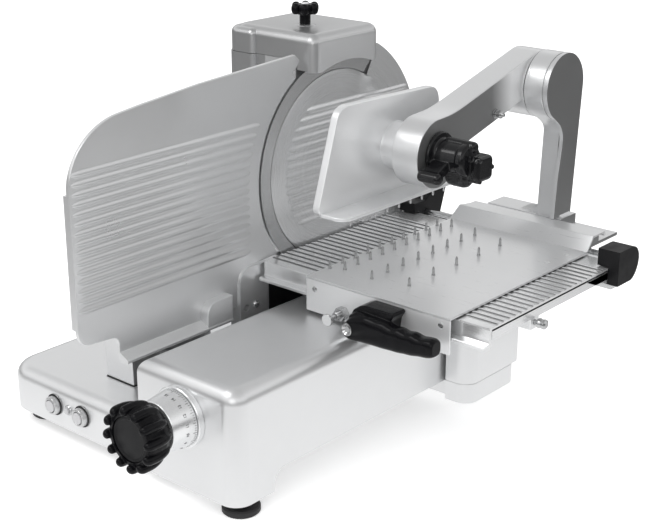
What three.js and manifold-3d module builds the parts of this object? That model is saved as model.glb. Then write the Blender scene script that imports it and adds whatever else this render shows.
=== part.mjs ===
// Vertical electric slicer with a hand-pushed carriage.
// Millimetres. X runs from the machine to the product table, Y from the operator
// to the rear, Z up. While modelling, X = 0 is the plane of the knife edge, Y = 0
// the front of the base. The finished group is shifted so that the middle of its
// footprint is the origin.

import * as THREE from 'three';
import { mergeGeometries, mergeVertices } from 'three/addons/utils/BufferGeometryUtils.js';
import Module from 'manifold-3d';

const wasm = await Module();
wasm.setup();

// Fits
const gap = 0.3;
const wall = 4;
const runningGap = 0.6;

// Knife
const knifeR = 165;
const knifeY = 437.5;
const knifeZ = 237.5;
const bevelWidth = 23.5;
const knifeRecess = 6.7;
const knifeBack = 10;
const hubR = 20;
const guardR = knifeR + 25;
const knifeWay = knifeR + 3;

// Bases
const baseLeft = -254;
const boxLeft = 35;
const boxRight = 211;
const baseRear = 572;
const baseTop = -9.5;
const baseBottom = -73;
const baseCorner = 45;
const baseRound = 18;
const boxTop = 79.5;
const boxBottom = -78.7;
const boxEdge = -49.4;
const boxCorner = 25;
const boxRound = 20;
const legDepth = 69;
const rearLegFront = baseRear - 23.5;
const ground = -95;
const footR = 25;

// Gauge plate
const gaugeFace = -1.2;
const gaugeThick = 6;
const gaugeArcR = knifeR + 2.2;
const gaugeRibs = 15;
const gaugeRibTop = 326.9;
const gaugeRibPitch = 12.64;
const gaugeTravel = 24;
const carrierX = [-106, -50];
const carrierY = [64, 215];
const slotX = [-117, -67];

// Thickness drive
const dialX = 117;
const dialZ = 24.2;
const dialR = 38.6;
const dialTurn = THREE.MathUtils.degToRad(330);
const camR = 20;
const camY = [118, 128];
const driveRodY = 124;
const shaftR = 7;

// Drive
const motorY = knifeY;
const motorZ = 62;
const motorR = 55;
const beltThick = 3;
const beltClear = 0.7;
const knifePulleyR = 60;
const motorPulleyR = 17;
const pulleyX = [-66, -50];

// Knife housing
const housingFront = -16;
const columnRear = -76;
const columnY = [365, 510];
const columnTop = knifeZ + knifeR - 1.5;
const coverLeft = -150;

// Sharpener
const sharpTop = columnTop + 39;
const sharpFront = 20;
const sharpY = [364, 511];
const sharpArcR = knifeR - 6;
const sharpAxis = [-48, 421];
const screwR = 5.5;
const stoneDrop = 10;

// Carriage
const railX = 120;
const railZ = -44;
const railR = 11;
const armX = [216, 258];
const armY = [426, 545];
const armBottom = -76;
const beamZ = [88, 110.5];
const rollerR = 9;
const rollerX = [166, 184];
const rollerRailTop = -35;

// Product table
const tableX = [4, 390];
const plateBend = 592.7;
const tableY = [273, plateBend + 2.3];
const tableTop = 129.5;
const tableThick = 5;
const tableRibs = 20;
const tableRibHeight = 1.5;
const ledgeY = 262;
const ledgeZ = [103, 108];
const knobY = 381;
const knobZ = 106;
const rodY = plateBend + 22.3;
const rodZ = 127;
const rodR = 6;

// Slide plate
const plateX = [97, 340];
const plateFront = 258;
const plateZ = 131.5;
const sheet = 3;
const flangeZ = 155;
const flangeY = [plateBend + 16.8, plateBend + 45.3];
const apronBottom = 84.5;

// Product holder
const postX = [219, 255];
const pivotY = plateBend + 55.3;
const pivotZ = 354.5;
const headR = 50;
const swingX = [168, 212];
const hubFace = 215.4;
const bossY = 400;
const bossZ = 298;
const bossR = 48.5;
const pinR = 12;
const pusherX = [126, 138];
const spindleR = 9.7;

// Controls
const buttonX = [-141, -83];
const buttonZ = -42;
const buttonR = 8.5;
const buttonFront = -10.5;
const collarR = 15;
const collarStep = -4.5;
const lampX = -112;
const glandX = -190;
const collarFront = -9;

// Materials
const metal = (color, roughness, metalness) =>
  new THREE.MeshStandardMaterial({ color, roughness, metalness });
const castAluminium = metal(0xd6d8d9, 0.38, 0.9);
const polishedAluminium = metal(0xdfe1e2, 0.22, 0.95);
const brushedSteel = metal(0xcfd2d4, 0.3, 1);
const chrome = metal(0xe6e8ea, 0.1, 1);
const darkSteel = metal(0x6f7375, 0.45, 0.9);
const blackPlastic = metal(0x18181a, 0.25, 0);
const rubber = metal(0x1d1d1e, 0.8, 0);
const stoneGrey = metal(0x9a8f86, 0.95, 0);
const greenBoard = metal(0x2f6b46, 0.6, 0.1);
const bronze = metal(0xb08d57, 0.4, 0.9);
const palePlastic = metal(0xd9dadb, 0.5, 0);

// Solids

// A closed solid from a geometry: shared vertices merged, slivers left out
function solid(geometry) {
  const bare = geometry.index ? geometry.toNonIndexed() : geometry.clone();
  for (const name of Object.keys(bare.attributes)) {
    if (name !== 'position') bare.deleteAttribute(name);
  }
  const merged = mergeVertices(bare, 1e-4);
  const points = merged.attributes.position;
  const index = merged.index;
  const triangles = [];
  let volume = 0;
  const a = new THREE.Vector3();
  const b = new THREE.Vector3();
  const c = new THREE.Vector3();
  for (let i = 0; i < index.count; i += 3) {
    const [p, q, r] = [index.getX(i), index.getX(i + 1), index.getX(i + 2)];
    if (p === q || q === r || r === p) continue;
    a.fromBufferAttribute(points, p);
    b.fromBufferAttribute(points, q);
    c.fromBufferAttribute(points, r);
    volume += a.dot(b.cross(c));
    triangles.push(p, q, r);
  }
  if (volume < 0) triangles.reverse();
  return new wasm.Manifold(new wasm.Mesh({
    numProp: 3,
    vertProperties: new Float32Array(points.array),
    triVerts: new Uint32Array(triangles),
  }));
}

function join(...parts) {
  return parts.reduce((whole, part) => whole.add(part));
}

function cut(body, ...tools) {
  return tools.reduce((rest, tool) => rest.subtract(tool), body);
}

// The mesh of a solid, ready for the scene
function piece(name, material, ...parts) {
  const result = join(...parts).getMesh();
  const geometry = new THREE.BufferGeometry();
  geometry.setAttribute('position', new THREE.BufferAttribute(result.vertProperties, 3));
  geometry.setIndex(new THREE.BufferAttribute(result.triVerts, 1));
  geometry.computeVertexNormals();
  const mesh = new THREE.Mesh(geometry, material);
  mesh.name = name;
  return mesh;
}

function block(x0, x1, y0, y1, z0, z1) {
  const geometry = new THREE.BoxGeometry(x1 - x0, y1 - y0, z1 - z0);
  return solid(geometry.translate((x0 + x1) / 2, (y0 + y1) / 2, (z0 + z1) / 2));
}

// The frames that turn a drawing into an extrusion along one axis
const alongX = new THREE.Matrix4().set(0, 0, 1, 0, 1, 0, 0, 0, 0, 1, 0, 0, 0, 0, 0, 1);
const alongY = new THREE.Matrix4().set(1, 0, 0, 0, 0, 0, -1, 0, 0, 1, 0, 0, 0, 0, 0, 1);

function roundedExtrude(shape, depth, round, steps, curveSegments) {
  const geometry = new THREE.ExtrudeGeometry(shape, {
    depth: depth - 2 * round,
    bevelEnabled: round > 0,
    bevelThickness: round,
    bevelSize: round,
    bevelOffset: -round,
    bevelSegments: steps,
    curveSegments,
  });
  return geometry.translate(0, 0, round);
}

// A drawing in Y and Z, extruded from x0 to x1
function extrudeX(shape, x0, x1, round = 0, steps = 2, curveSegments = 8) {
  const geometry = roundedExtrude(shape, x1 - x0, round, steps, curveSegments);
  return solid(geometry.applyMatrix4(alongX).translate(x0, 0, 0));
}

// A drawing in X and Z, extruded from y0 to y1
function extrudeY(shape, y0, y1, round = 0, steps = 2, curveSegments = 8) {
  const geometry = roundedExtrude(shape, y1 - y0, round, steps, curveSegments);
  return solid(geometry.applyMatrix4(alongY).translate(0, y1, 0));
}

// A drawing in X and Y, extruded from z0 to z1
function extrudeZ(shape, z0, z1, round = 0, steps = 2, curveSegments = 8) {
  const geometry = roundedExtrude(shape, z1 - z0, round, steps, curveSegments);
  return solid(geometry.translate(0, 0, z0));
}

// Turned pieces: the profile lists radius and place along the axis
function turned(profile, segments) {
  return new THREE.LatheGeometry(profile.map(([r, t]) => new THREE.Vector2(r, t)), segments);
}

function turnedX(profile, y, z, segments = 32) {
  return solid(turned(profile, segments).rotateZ(-Math.PI / 2).translate(0, y, z));
}

function turnedY(profile, x, z, segments = 32) {
  return solid(turned(profile, segments).translate(x, 0, z));
}

function turnedZ(profile, x, y, segments = 32) {
  return solid(turned(profile, segments).rotateX(Math.PI / 2).translate(x, y, 0));
}

function rod(r, t0, t1) {
  return [[0, t0], [r, t0], [r, t1], [0, t1]];
}

function ring(rInner, rOuter, t0, t1) {
  return [[rInner, t0], [rOuter, t0], [rOuter, t1], [rInner, t1], [rInner, t0]];
}

const rodX = (r, x0, x1, y, z, segments) => turnedX(rod(r, x0, x1), y, z, segments);
const rodAlongY = (r, y0, y1, x, z, segments) => turnedY(rod(r, y0, y1), x, z, segments);
const rodAlongZ = (r, z0, z1, x, y, segments) => turnedZ(rod(r, z0, z1), x, y, segments);
const ringX = (r0, r1, x0, x1, y, z, segments) => turnedX(ring(r0, r1, x0, x1), y, z, segments);
const ringY = (r0, r1, y0, y1, x, z, segments) => turnedY(ring(r0, r1, y0, y1), x, z, segments);

// Drawings

function polygon(points) {
  return new THREE.Shape(points.map(([u, v]) => new THREE.Vector2(u, v)));
}

// A rectangle with its four corner radii: low-u low-v, high-u low-v, high-high, low-high
function roundedRect(u0, u1, v0, v1, radii) {
  const [a, b, c, d] = Array.isArray(radii) ? radii : [radii, radii, radii, radii];
  const shape = new THREE.Shape();
  shape.moveTo(u0 + a, v0);
  shape.lineTo(u1 - b, v0);
  if (b) shape.absarc(u1 - b, v0 + b, b, -Math.PI / 2, 0);
  shape.lineTo(u1, v1 - c);
  if (c) shape.absarc(u1 - c, v1 - c, c, 0, Math.PI / 2);
  shape.lineTo(u0 + d, v1);
  if (d) shape.absarc(u0 + d, v1 - d, d, Math.PI / 2, Math.PI);
  shape.lineTo(u0, v0 + a);
  if (a) shape.absarc(u0 + a, v0 + a, a, Math.PI, 1.5 * Math.PI);
  return shape;
}

// A ring sector about a centre, from one angle to another
function sector(u, v, rInner, rOuter, from, to) {
  const shape = new THREE.Shape();
  shape.absarc(u, v, rOuter, from, to, false);
  shape.absarc(u, v, rInner, to, from, true);
  return shape;
}

// A skin through rings of points, closed by a fan at each end
function loft(rings) {
  const count = rings[0].length;
  const corners = [];
  const middle = (r) => r.reduce((sum, p) => sum.add(p), new THREE.Vector3()).divideScalar(count);
  const add = (...points) => points.forEach((p) => corners.push(p.x, p.y, p.z));
  for (let k = 0; k < rings.length - 1; k += 1) {
    for (let i = 0; i < count; i += 1) {
      const j = (i + 1) % count;
      const [a, b, c, d] = [rings[k][i], rings[k][j], rings[k + 1][j], rings[k + 1][i]];
      add(a, b, c);
      add(a, c, d);
    }
  }
  const [first, last] = [rings[0], rings[rings.length - 1]];
  const [start, end] = [middle(first), middle(last)];
  for (let i = 0; i < count; i += 1) {
    const j = (i + 1) % count;
    add(start, first[j], first[i]);
    add(end, last[i], last[j]);
  }
  const geometry = new THREE.BufferGeometry();
  geometry.setAttribute('position', new THREE.Float32BufferAttribute(corners, 3));
  return solid(geometry);
}

const meshes = [];
function add(name, material, ...parts) {
  meshes.push(piece(name, material, ...parts));
}

// Base castings

const footPlaces = [[baseLeft + 39, 45], [boxRight - 21, 28], [baseLeft + 39, baseRear - 45],
  [boxRight - 26, baseRear - 14]];

function openCasting(shape, inner, top, bottom, round, bosses) {
  const spare = round + 5;
  const skin = extrudeZ(shape, bottom - spare, top, round, 3, 3);
  const below = block(2 * baseLeft, 3 * boxRight, -boxRight, 2 * baseRear, bottom - spare - 1, bottom);
  const hollow = extrudeZ(inner, bottom - spare, top - wall, round - wall, 2, 2);
  const shell = cut(skin, below, hollow);
  return join(shell, ...bosses.map((boss) => boss.intersect(skin)));
}

function footBoss([x, y], bottom, top) {
  return rodAlongZ(14, bottom, top, x, y, 8);
}

// Lugs under the top that hold the guide rods of the gauge carrier
const guideY = [102, 183];
const guideZ = -42;
const guideR = 9;
const lugX = [-140, -46];
const lugWidth = 8;
function guideLugs() {
  return lugX.map((x) => cut(block(x, x + lugWidth, 88, 197, guideZ - 14, baseTop - 1),
    ...guideY.map((y) => rodX(guideR + gap, x - 5, x + lugWidth + 5, y, guideZ, 10))));
}

function lowBase() {
  const beyond = 30;
  const outer = roundedRect(baseLeft, boxLeft + beyond, 0, baseRear, [baseCorner, 0, 0, baseCorner]);
  const inner = roundedRect(baseLeft + wall, boxLeft - gap - wall, wall, baseRear - wall,
    [baseCorner - wall, 0, 0, baseCorner - wall]);
  const bosses = [footPlaces[0], footPlaces[2]].map((p) => footBoss(p, baseBottom, baseTop));
  const body = openCasting(outer, inner, baseTop, baseBottom, baseRound, bosses);
  const side = block(boxLeft - gap, boxLeft + beyond + 5, -5, baseRear + 5, baseBottom - 5, baseTop + 5);
  const slot = block(slotX[0], slotX[1], 82, 203, baseTop - 10, baseTop + 5);
  const holes = buttonX.map((x) =>
    rodAlongY(buttonR + runningGap, collarFront - 5, wall + 5, x, buttonZ, 12));
  const collar = [[0, wall], [collarR, wall], [collarR, collarStep], [collarR - 2, collarStep - 1],
    [collarR - 2, collarFront + 2], [collarR - 4, collarFront], [0, collarFront]];
  const collars = buttonX.map((x) => turnedY(collar, x, buttonZ, 12));
  const lampHole = rodAlongY(5 + gap, -5, wall + 5, lampX, buttonZ, 10);
  const glandHole = rodAlongY(9 + gap, baseRear - wall - 5, baseRear + 5, glandX, buttonZ, 16);
  return cut(join(body, ...collars, ...guideLugs()), side, slot, ...holes, lampHole, glandHole);
}
add('low_base_casting', castAluminium, lowBase());

// The side seen from the right: full depth at the two legs, a raised edge between
function boxSideOutline(y0, y1, z1, rise) {
  const shape = new THREE.Shape();
  shape.moveTo(y0, boxBottom);
  shape.lineTo(legDepth, boxBottom);
  shape.lineTo(legDepth, boxEdge - rise);
  shape.absarc(legDepth + rise, boxEdge - rise, rise, Math.PI, Math.PI / 2, true);
  shape.lineTo(rearLegFront - 8, boxEdge);
  shape.lineTo(rearLegFront, boxEdge - 8);
  shape.lineTo(rearLegFront, boxBottom);
  shape.lineTo(y1, boxBottom);
  shape.lineTo(y1, z1);
  shape.lineTo(y0, z1);
  return shape;
}

function driveBox() {
  const outer = roundedRect(boxLeft, boxRight, 0, baseRear, [0, boxCorner, boxCorner, 0]);
  const inner = roundedRect(boxLeft + wall, boxRight - wall, wall, baseRear - wall,
    [0, boxCorner - wall, boxCorner - wall, 0]);
  const bosses = [footPlaces[1], footPlaces[3]].map((p) => footBoss(p, boxBottom, boxTop));
  const body = openCasting(outer, inner, boxTop, boxBottom, boxRound, bosses);
  const sideCut = cut(
    block(boxLeft + 45, boxRight + 5, legDepth, rearLegFront, boxBottom - 5, boxEdge),
    extrudeX(sector(legDepth + 18, boxEdge - 18, 18, 40, Math.PI / 2, Math.PI), boxLeft, boxRight + 8),
  );
  const lugs = [[wall - 1, 22], [554, baseRear - wall + 1]].map(([y0, y1]) =>
    block(railX - 20, railX + 20, y0, y1, railZ - 20, railZ + 20));
  const shaftBlock = block(dialX - 14, dialX + 14, camY[1] + 4, camY[1] + 18, dialZ - 14, boxTop - 2);
  const railSeat = rodAlongY(railR + gap, wall, baseRear - wall, railX, railZ, 16);
  const shaftHole = rodAlongY(shaftR + gap, -5, camY[1] + 24, dialX, dialZ, 16);
  const rodHole = rodX(shaftR + gap, boxLeft - 5, boxLeft + wall + 5, driveRodY, dialZ, 16);
  const track = block(...rollerX, wall - 1, baseRear - wall + 1, rollerRailTop - 10, rollerRailTop);
  return cut(join(cut(body, sideCut), ...lugs, shaftBlock, track), railSeat, shaftHole, rodHole);
}
add('drive_box_casting', castAluminium, driveBox());

// The folded sheet that closes the base from below, with its air slots
function bottomPlate() {
  const slots = Array.from({ length: 6 }, (_, i) =>
    block(-120, -70, 250 + i * 16, 257 + i * 16, baseBottom - 5, baseBottom + 5));
  const sheetPlate = block(-188, 18, wall + gap, baseRear - wall - gap, baseBottom + gap, baseBottom + 2);
  const folds = [wall + gap, baseRear - wall - gap - 2].map((y) =>
    block(-188, 18, y, y + 2, baseBottom + gap, baseBottom + 16));
  return cut(join(sheetPlate, ...folds), ...slots);
}
add('base_bottom_plate', darkSteel, bottomPlate());

function foot([x, y], seat) {
  const profile = [[0, ground], [footR, ground], [footR, ground + 9], [11, ground + 12],
    [11, seat - gap], [0, seat - gap]];
  return turnedZ(profile, x, y, 12);
}
add('foot_front_left', rubber, foot(footPlaces[0], baseBottom));
add('foot_front_right', rubber, foot(footPlaces[1], boxBottom));
add('foot_rear_left', rubber, foot(footPlaces[2], baseBottom));
add('foot_rear_right', rubber, foot(footPlaces[3], boxBottom));

// Controls in the low base

function button(x) {
  const profile = [[0, buttonFront], [buttonR - 1, buttonFront], [buttonR, buttonFront + 1],
    [buttonR, 14], [0, 14]];
  return turnedY(profile, x, buttonZ, 12);
}
add('stop_button', palePlastic, button(buttonX[0]));
add('start_button', palePlastic, button(buttonX[1]));
add('indicator_lamp', palePlastic,
  turnedY([[0, -6], [3.5, -5.5], [5, -3.5], [5, 12], [0, 12]], lampX, buttonZ, 10));
add('switch_block', blackPlastic,
  cut(block(-156, -68, wall + 2 + 2 * gap, 44, -62, -22),
    ...buttonX.map((x) => rodAlongY(buttonR + runningGap, 0, 20, x, buttonZ, 12)),
    rodAlongY(5 + gap, 0, 12 + gap, lampX, buttonZ, 10)));
function controlBoard() {
  const board = block(-180, -60, 340, 500, -46, -44);
  const relay = block(-170, -140, 430, 460, -45, -24);
  const filter = block(-120, -85, 430, 480, -45, -28);
  const capacitor = rodX(15, -165, -100, 372, -31, 16);
  const posts = [[-178, 342], [-68, 342], [-178, 492], [-68, 492]].map(([x, y]) =>
    block(x, x + 6, y, y + 6, baseBottom + 2 + gap, -45));
  return join(board, relay, filter, capacitor, ...posts);
}
add('control_board', greenBoard, controlBoard());
add('cable_gland', blackPlastic, turnedY([[4, baseRear - 14], [9, baseRear - 14], [9, baseRear + gap],
  [13, baseRear + gap], [13, baseRear + 6], [7, baseRear + 14], [4, baseRear + 14],
  [4, baseRear - 14]], glandX, buttonZ, 10));

// Knife housing: the wall behind the knife, the column and the bearing seat

// The wall beside the knife, below the gauge plate and the table
function lowerWallOutline() {
  const shape = new THREE.Shape();
  shape.moveTo(228, baseTop + gap);
  shape.lineTo(228, 103);
  shape.quadraticCurveTo(229, 125.3, 252, 125.3);
  shape.lineTo(600, 125.3);
  shape.quadraticCurveTo(612, 125.3, 612, 112);
  shape.lineTo(612, baseTop + gap);
  return shape;
}

const guardFrom = THREE.MathUtils.degToRad(-62);
const guardTo = THREE.MathUtils.degToRad(62);

function knifeHousing() {
  const lowerWall = cut(extrudeX(lowerWallOutline(), housingFront, -0.6, 0, 1, 4),
    rodX(knifeWay, housingFront - 5, 5, knifeY, knifeZ, 32));
  const back = rodX(knifeR - 8, housingFront - 5, housingFront, knifeY, knifeZ, 28);
  const shroud = extrudeX(sector(knifeY, knifeZ, knifeWay, guardR, guardFrom, guardTo),
    housingFront - 5, 0.2, 0, 1, 8);
  const shroudBack = extrudeX(sector(knifeY, knifeZ, knifeR - 25, guardR, guardFrom, guardTo),
    housingFront - 5, housingFront, 0, 1, 8);
  const lowBack = extrudeX(lowerWallOutline(), housingFront - 5, housingFront, 0, 1, 4);
  const column = extrudeZ(roundedRect(columnRear, housingFront, ...columnY, 0), baseTop + gap, columnTop);
  const room = block(columnRear - 5, housingFront - 5, columnY[0] + 5, columnY[1] - 5,
    baseTop + 6, columnTop - 5);
  const seat = rodX(29, -47, housingFront - 2, knifeY, knifeZ, 24);
  const motorWeb = cut(block(columnRear, columnRear + 5, columnY[0] + 1, columnY[1] - 1, baseTop + 2, 130),
    rodX(14, columnRear - 5, columnRear + 10, motorY, motorZ, 16));
  const bore = rodX(23.5 + gap, -60, -18, knifeY, knifeZ, 24);
  const throat = rodX(hubR + 1.5, -60, 5, knifeY, knifeZ, 24);
  const screwWay = rodAlongZ(6, columnTop - 10, columnTop + 5, ...sharpAxis, 12);
  const hole = rodX(5, housingFront - 10, 5, 240, 66, 12);
  return cut(join(cut(join(back, shroud, shroudBack, lowBack, column, lowerWall), room), seat, motorWeb),
    bore, throat, screwWay, hole);
}
add('knife_housing', castAluminium, knifeHousing());
add('housing_screw', chrome, turnedX([[0, -0.3], [4.5, -0.3], [4.5, 1.6], [2.5, 2.4], [0, 2.4]],
  252, 74, 10));

function motorCover() {
  const y = [columnY[0], columnY[1]];
  const outer = extrudeZ(roundedRect(coverLeft, columnRear - gap, ...y, [20, 0, 0, 20]),
    baseTop + gap, columnTop, 0, 1, 4);
  const bulge = extrudeZ(roundedRect(coverLeft, -92, y[0] - 8, y[1] + 8, [24, 8, 8, 24]),
    baseTop + gap, columnTop, 0, 1, 4);
  const room = block(coverLeft + 4, columnRear + 5, y[0] + 4, y[1] - 4, baseTop + 4, columnTop - 4);
  return cut(join(outer, bulge), room);
}
add('motor_cover', castAluminium, motorCover());

// Sharpener: cap, knob with its screw, carrier and two stones

function sharpenerCover() {
  const z0 = columnTop + gap;
  const y = sharpY;
  const shape = roundedRect(coverLeft + 6, sharpFront, ...y, [24, 16, 16, 24]);
  const spare = 40;
  const body = extrudeZ(shape, z0 - spare, sharpTop, 15, 3, 3);
  const bulge = extrudeZ(roundedRect(coverLeft + 2, -92, y[0] - 7, y[1] + 7, [24, 10, 10, 24]),
    z0 - spare, sharpTop - 3, 9, 2, 3);
  const below = block(-300, -12.5, 300, 600, z0 - spare - 5, z0);
  const inner = roundedRect(coverLeft + 10, sharpFront - 3, y[0] + 3, y[1] - 3, [20, 13, 13, 20]);
  const hollow = extrudeZ(inner, z0 - spare - 5, sharpTop - 4, 8, 2, 2);
  const lip = block(-15, sharpFront + 5, 300, 600, z0 - spare - 5, columnTop - 15);
  const arc = rodX(sharpArcR, -20, sharpFront + 5, knifeY, knifeZ, 40);
  const edgeWay = rodX(knifeR + 2.5, -14, 2.5, knifeY, knifeZ, 40);
  const stem = rodAlongZ(screwR + gap, sharpTop - 10, sharpTop + 5, ...sharpAxis, 12);
  const pad = rodAlongZ(13, sharpTop - 1, sharpTop + 1.5, ...sharpAxis, 16);
  return cut(join(cut(join(body, bulge), below, hollow, lip, arc, edgeWay), pad), stem);
}
add('sharpener_cover', castAluminium, sharpenerCover());

// A star outline: lobes of one radius about a centre
function lobedShape(x, y, lobes, rValley, rTip, perLobe) {
  const count = lobes * perLobe;
  const points = Array.from({ length: count }, (_, i) => {
    const a = (i / count) * 2 * Math.PI;
    const swell = Math.abs(Math.cos(a * lobes / 2)) ** 0.7;
    const r = rValley + (rTip - rValley) * swell;
    return [x + r * Math.cos(a), y + r * Math.sin(a)];
  });
  return polygon(points);
}
function sharpenerKnob() {
  const star = extrudeZ(lobedShape(...sharpAxis, 6, 13, 17.5, 3), sharpTop + 15, sharpTop + 33, 1.5, 1);
  const stem = rodAlongZ(8, sharpTop + 2, sharpTop + 16, ...sharpAxis, 16);
  return join(star, stem, rodAlongZ(screwR, columnTop - 5, sharpTop + 16, ...sharpAxis, 12));
}
add('sharpener_knob', blackPlastic, sharpenerKnob());

const carrierZ = [sharpTop - 16, sharpTop - 9];
const stoneZ = knifeZ + knifeR + 16.5;
const stoneRadius = 13;
const stones = [{ name: 'grinding_stone', x: [-11.6, -3.6], y: knifeY - 16 },
  { name: 'deburring_stone', x: [0.8, 8.8], y: knifeY + 16 }];

function stoneCarrier() {
  const nut = rodAlongZ(screwR + gap, columnTop - 1, sharpTop, ...sharpAxis, 12);
  const head = cut(block(-62, 14, 408, 470, ...carrierZ), nut);
  const cheeks = [block(-26, -20, stones[0].y - 7, stones[0].y + 7, stoneZ - 7, carrierZ[0] + 1),
    block(9.4, 13.4, stones[1].y - 7, stones[1].y + 7, stoneZ - 7, carrierZ[1])];
  const windows = stones.map((s) =>
    rodX(stoneRadius + 1, s.x[0] - runningGap, s.x[1] + runningGap, s.y, stoneZ, 16));
  const axles = [rodX(3, -22, -4, stones[0].y, stoneZ, 12), rodX(3, 1.2, 10, stones[1].y, stoneZ, 12)];
  return join(cut(join(head, ...cheeks), ...windows), ...axles);
}
add('stone_carrier', darkSteel, stoneCarrier());
for (const s of stones) {
  add(s.name, stoneGrey, ringX(3 + gap, stoneRadius, ...s.x, s.y, stoneZ, 14));
}

// Motor, belt and knife spindle

function motorStator() {
  const profile = [[8, -80], [8, -77], [motorR, -77], [motorR, -144], [8, -144], [8, -140],
    [28, -140], [28, -80], [8, -80]];
  return turnedX(profile, motorY, motorZ, 16);
}
add('motor_stator', darkSteel, motorStator());

// A flanged pulley; with a bore of zero it is solid
function pulley(r, rBore, y, z, segments) {
  const rim = r + beltThick + 1.5;
  const [x0, x1] = pulleyX;
  const profile = [[rBore, x0], [rim, x0], [rim, x0 + 1.5], [r, x0 + 1.5], [r, x1 - 1.5],
    [rim, x1 - 1.5], [rim, x1], [rBore, x1]];
  if (rBore > 0) profile.push([rBore, x0]);
  return turnedX(profile, y, z, segments);
}
add('motor_rotor', darkSteel, rodX(27.4, -136, -84, motorY, motorZ, 16),
  rodX(7, -142, pulleyX[0] + 1, motorY, motorZ, 16), pulley(motorPulleyR, 0, motorY, motorZ, 14));
add('knife_pulley', polishedAluminium, pulley(knifePulleyR, 12 + gap, knifeY, knifeZ, 18));

// The belt: two arcs and the two straight runs that touch them both
function beltOutline(extra) {
  const big = knifePulleyR + beltClear + extra;
  const small = motorPulleyR + beltClear + extra;
  const tilt = Math.asin((big - small) / (knifeZ - motorZ));
  const shape = new THREE.Shape();
  shape.absarc(knifeY, knifeZ, big, -tilt, Math.PI + tilt, false);
  shape.absarc(motorY, motorZ, small, Math.PI + tilt, 2 * Math.PI - tilt, false);
  return shape;
}

function driveBelt() {
  const [x0, x1] = [pulleyX[0] + 3, pulleyX[1] - 3];
  return cut(extrudeX(beltOutline(beltThick), x0, x1, 0, 1, 6),
    extrudeX(beltOutline(0), x0 - 5, x1 + 5, 0, 1, 6));
}
add('drive_belt', rubber, driveBelt());

const bearingX = [[-46.5, -34.5], [-30.5, -18.5]];
const bearings = bearingX.map(([x0, x1]) => ringX(12 + gap, 23.5, x0, x1, knifeY, knifeZ, 18));
add('bearing_rear', brushedSteel, bearings[0]);
add('bearing_front', brushedSteel, bearings[1]);
add('knife_shaft', brushedSteel, turnedX([[0, -69], [12, -69], [12, -18], [16, -18], [16, -14],
  [hubR + 15, -14], [hubR + 15, -knifeBack - gap], [hubR - gap, -knifeBack - gap],
  [hubR - gap, -knifeRecess - 1], [0, -knifeRecess - 1]], knifeY, knifeZ, 16));

function knife() {
  const inner = knifeR - bevelWidth;
  const profile = [[hubR, -knifeBack], [60, -knifeBack], [150, -6.9], [knifeR, -0.5], [knifeR, 0],
    [inner, -3], [inner - 0.4, -knifeRecess], [hubR, -knifeRecess], [hubR, -knifeBack]];
  return turnedX(profile, knifeY, knifeZ, 42);
}
add('knife', brushedSteel, knife());

// Knife cover: a disc in the recess of the knife and the guard over its rear edge

const coverR = knifeR - bevelWidth - 1.2;
const coverFace = -1.6;
const guardFace = 2;
const ribHalf = 3.2;
const ribHeight = 1.1;
const coverRibs = 13;
const coverRibTop = 79;

// A low ridge along Y on a face, narrower at its top and its ends
function rib(from, to, z, face, height) {
  const base = 0.6;
  const end = (y, inward) => [[y, -ribHalf, -base], [y + inward, -ribHalf / 2, height],
    [y + inward, ribHalf / 2, height], [y, ribHalf, -base]]
    .map(([v, dz, dx]) => new THREE.Vector3(face + dx, v, z + dz));
  return loft([end(from, ribHalf), end(to, -ribHalf)]);
}

function knifeCover() {
  const disc = rodX(coverR, -knifeRecess + 1, coverFace, knifeY, knifeZ, 36);
  const step = extrudeX(sector(knifeY, knifeZ, coverR - 12, coverR, guardFrom, guardTo),
    -knifeRecess + 1, guardFace, 0, 1, 6);
  const guard = extrudeX(sector(knifeY, knifeZ, coverR - 14, guardR, guardFrom, guardTo),
    0.6, guardFace, 0, 1, 6);
  const ribs = [];
  for (let i = 0; i < coverRibs; i += 1) {
    const lift = coverRibTop - i * gaugeRibPitch;
    const z = knifeZ + lift;
    const half = (r) => Math.sqrt(r ** 2 - lift ** 2);
    ribs.push(rib(knifeY - half(coverR - 28), knifeY + half(coverR - 16), z, coverFace, ribHeight));
    ribs.push(rib(knifeY + half(coverR - 10), knifeY + half(guardR - 2), z, guardFace, ribHeight));
  }
  return join(disc, step, guard, ...ribs);
}
add('knife_cover_plate', castAluminium, knifeCover());

// Gauge plate, its carrier and the thickness drive

function gaugeOutline() {
  const shape = new THREE.Shape();
  const arcLow = 130;
  const foot = Math.PI + Math.asin((knifeZ - arcLow) / gaugeArcR);
  const tip = THREE.MathUtils.degToRad(121.5);
  const notch = [[11.6, 123.2], [12.5, 118.8], [17.5, 115.7], [30.7, 117.2]].map(([out, degrees]) => {
    const a = THREE.MathUtils.degToRad(degrees);
    return [knifeY + (gaugeArcR + out) * Math.cos(a), knifeZ + (gaugeArcR + out) * Math.sin(a)];
  });
  shape.moveTo(4, 72);
  shape.lineTo(222.5, 72);
  shape.lineTo(223, 104);
  shape.quadraticCurveTo(225, 128, 250, 128);
  shape.lineTo(knifeY + gaugeArcR * Math.cos(foot), arcLow);
  shape.absarc(knifeY, knifeZ, gaugeArcR, foot, tip, true);
  notch.forEach(([y, z]) => shape.lineTo(y, z));
  shape.lineTo(161, 403);
  shape.lineTo(21, 389);
  shape.bezierCurveTo(-14, 384, -50, 360, -60, 322);
  shape.lineTo(-62, 312);
  shape.lineTo(-62, 124);
  shape.quadraticCurveTo(-61, 101, -40, 100.5);
  shape.lineTo(-6, 98);
  shape.quadraticCurveTo(4, 97, 4, 84);
  return shape;
}

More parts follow.
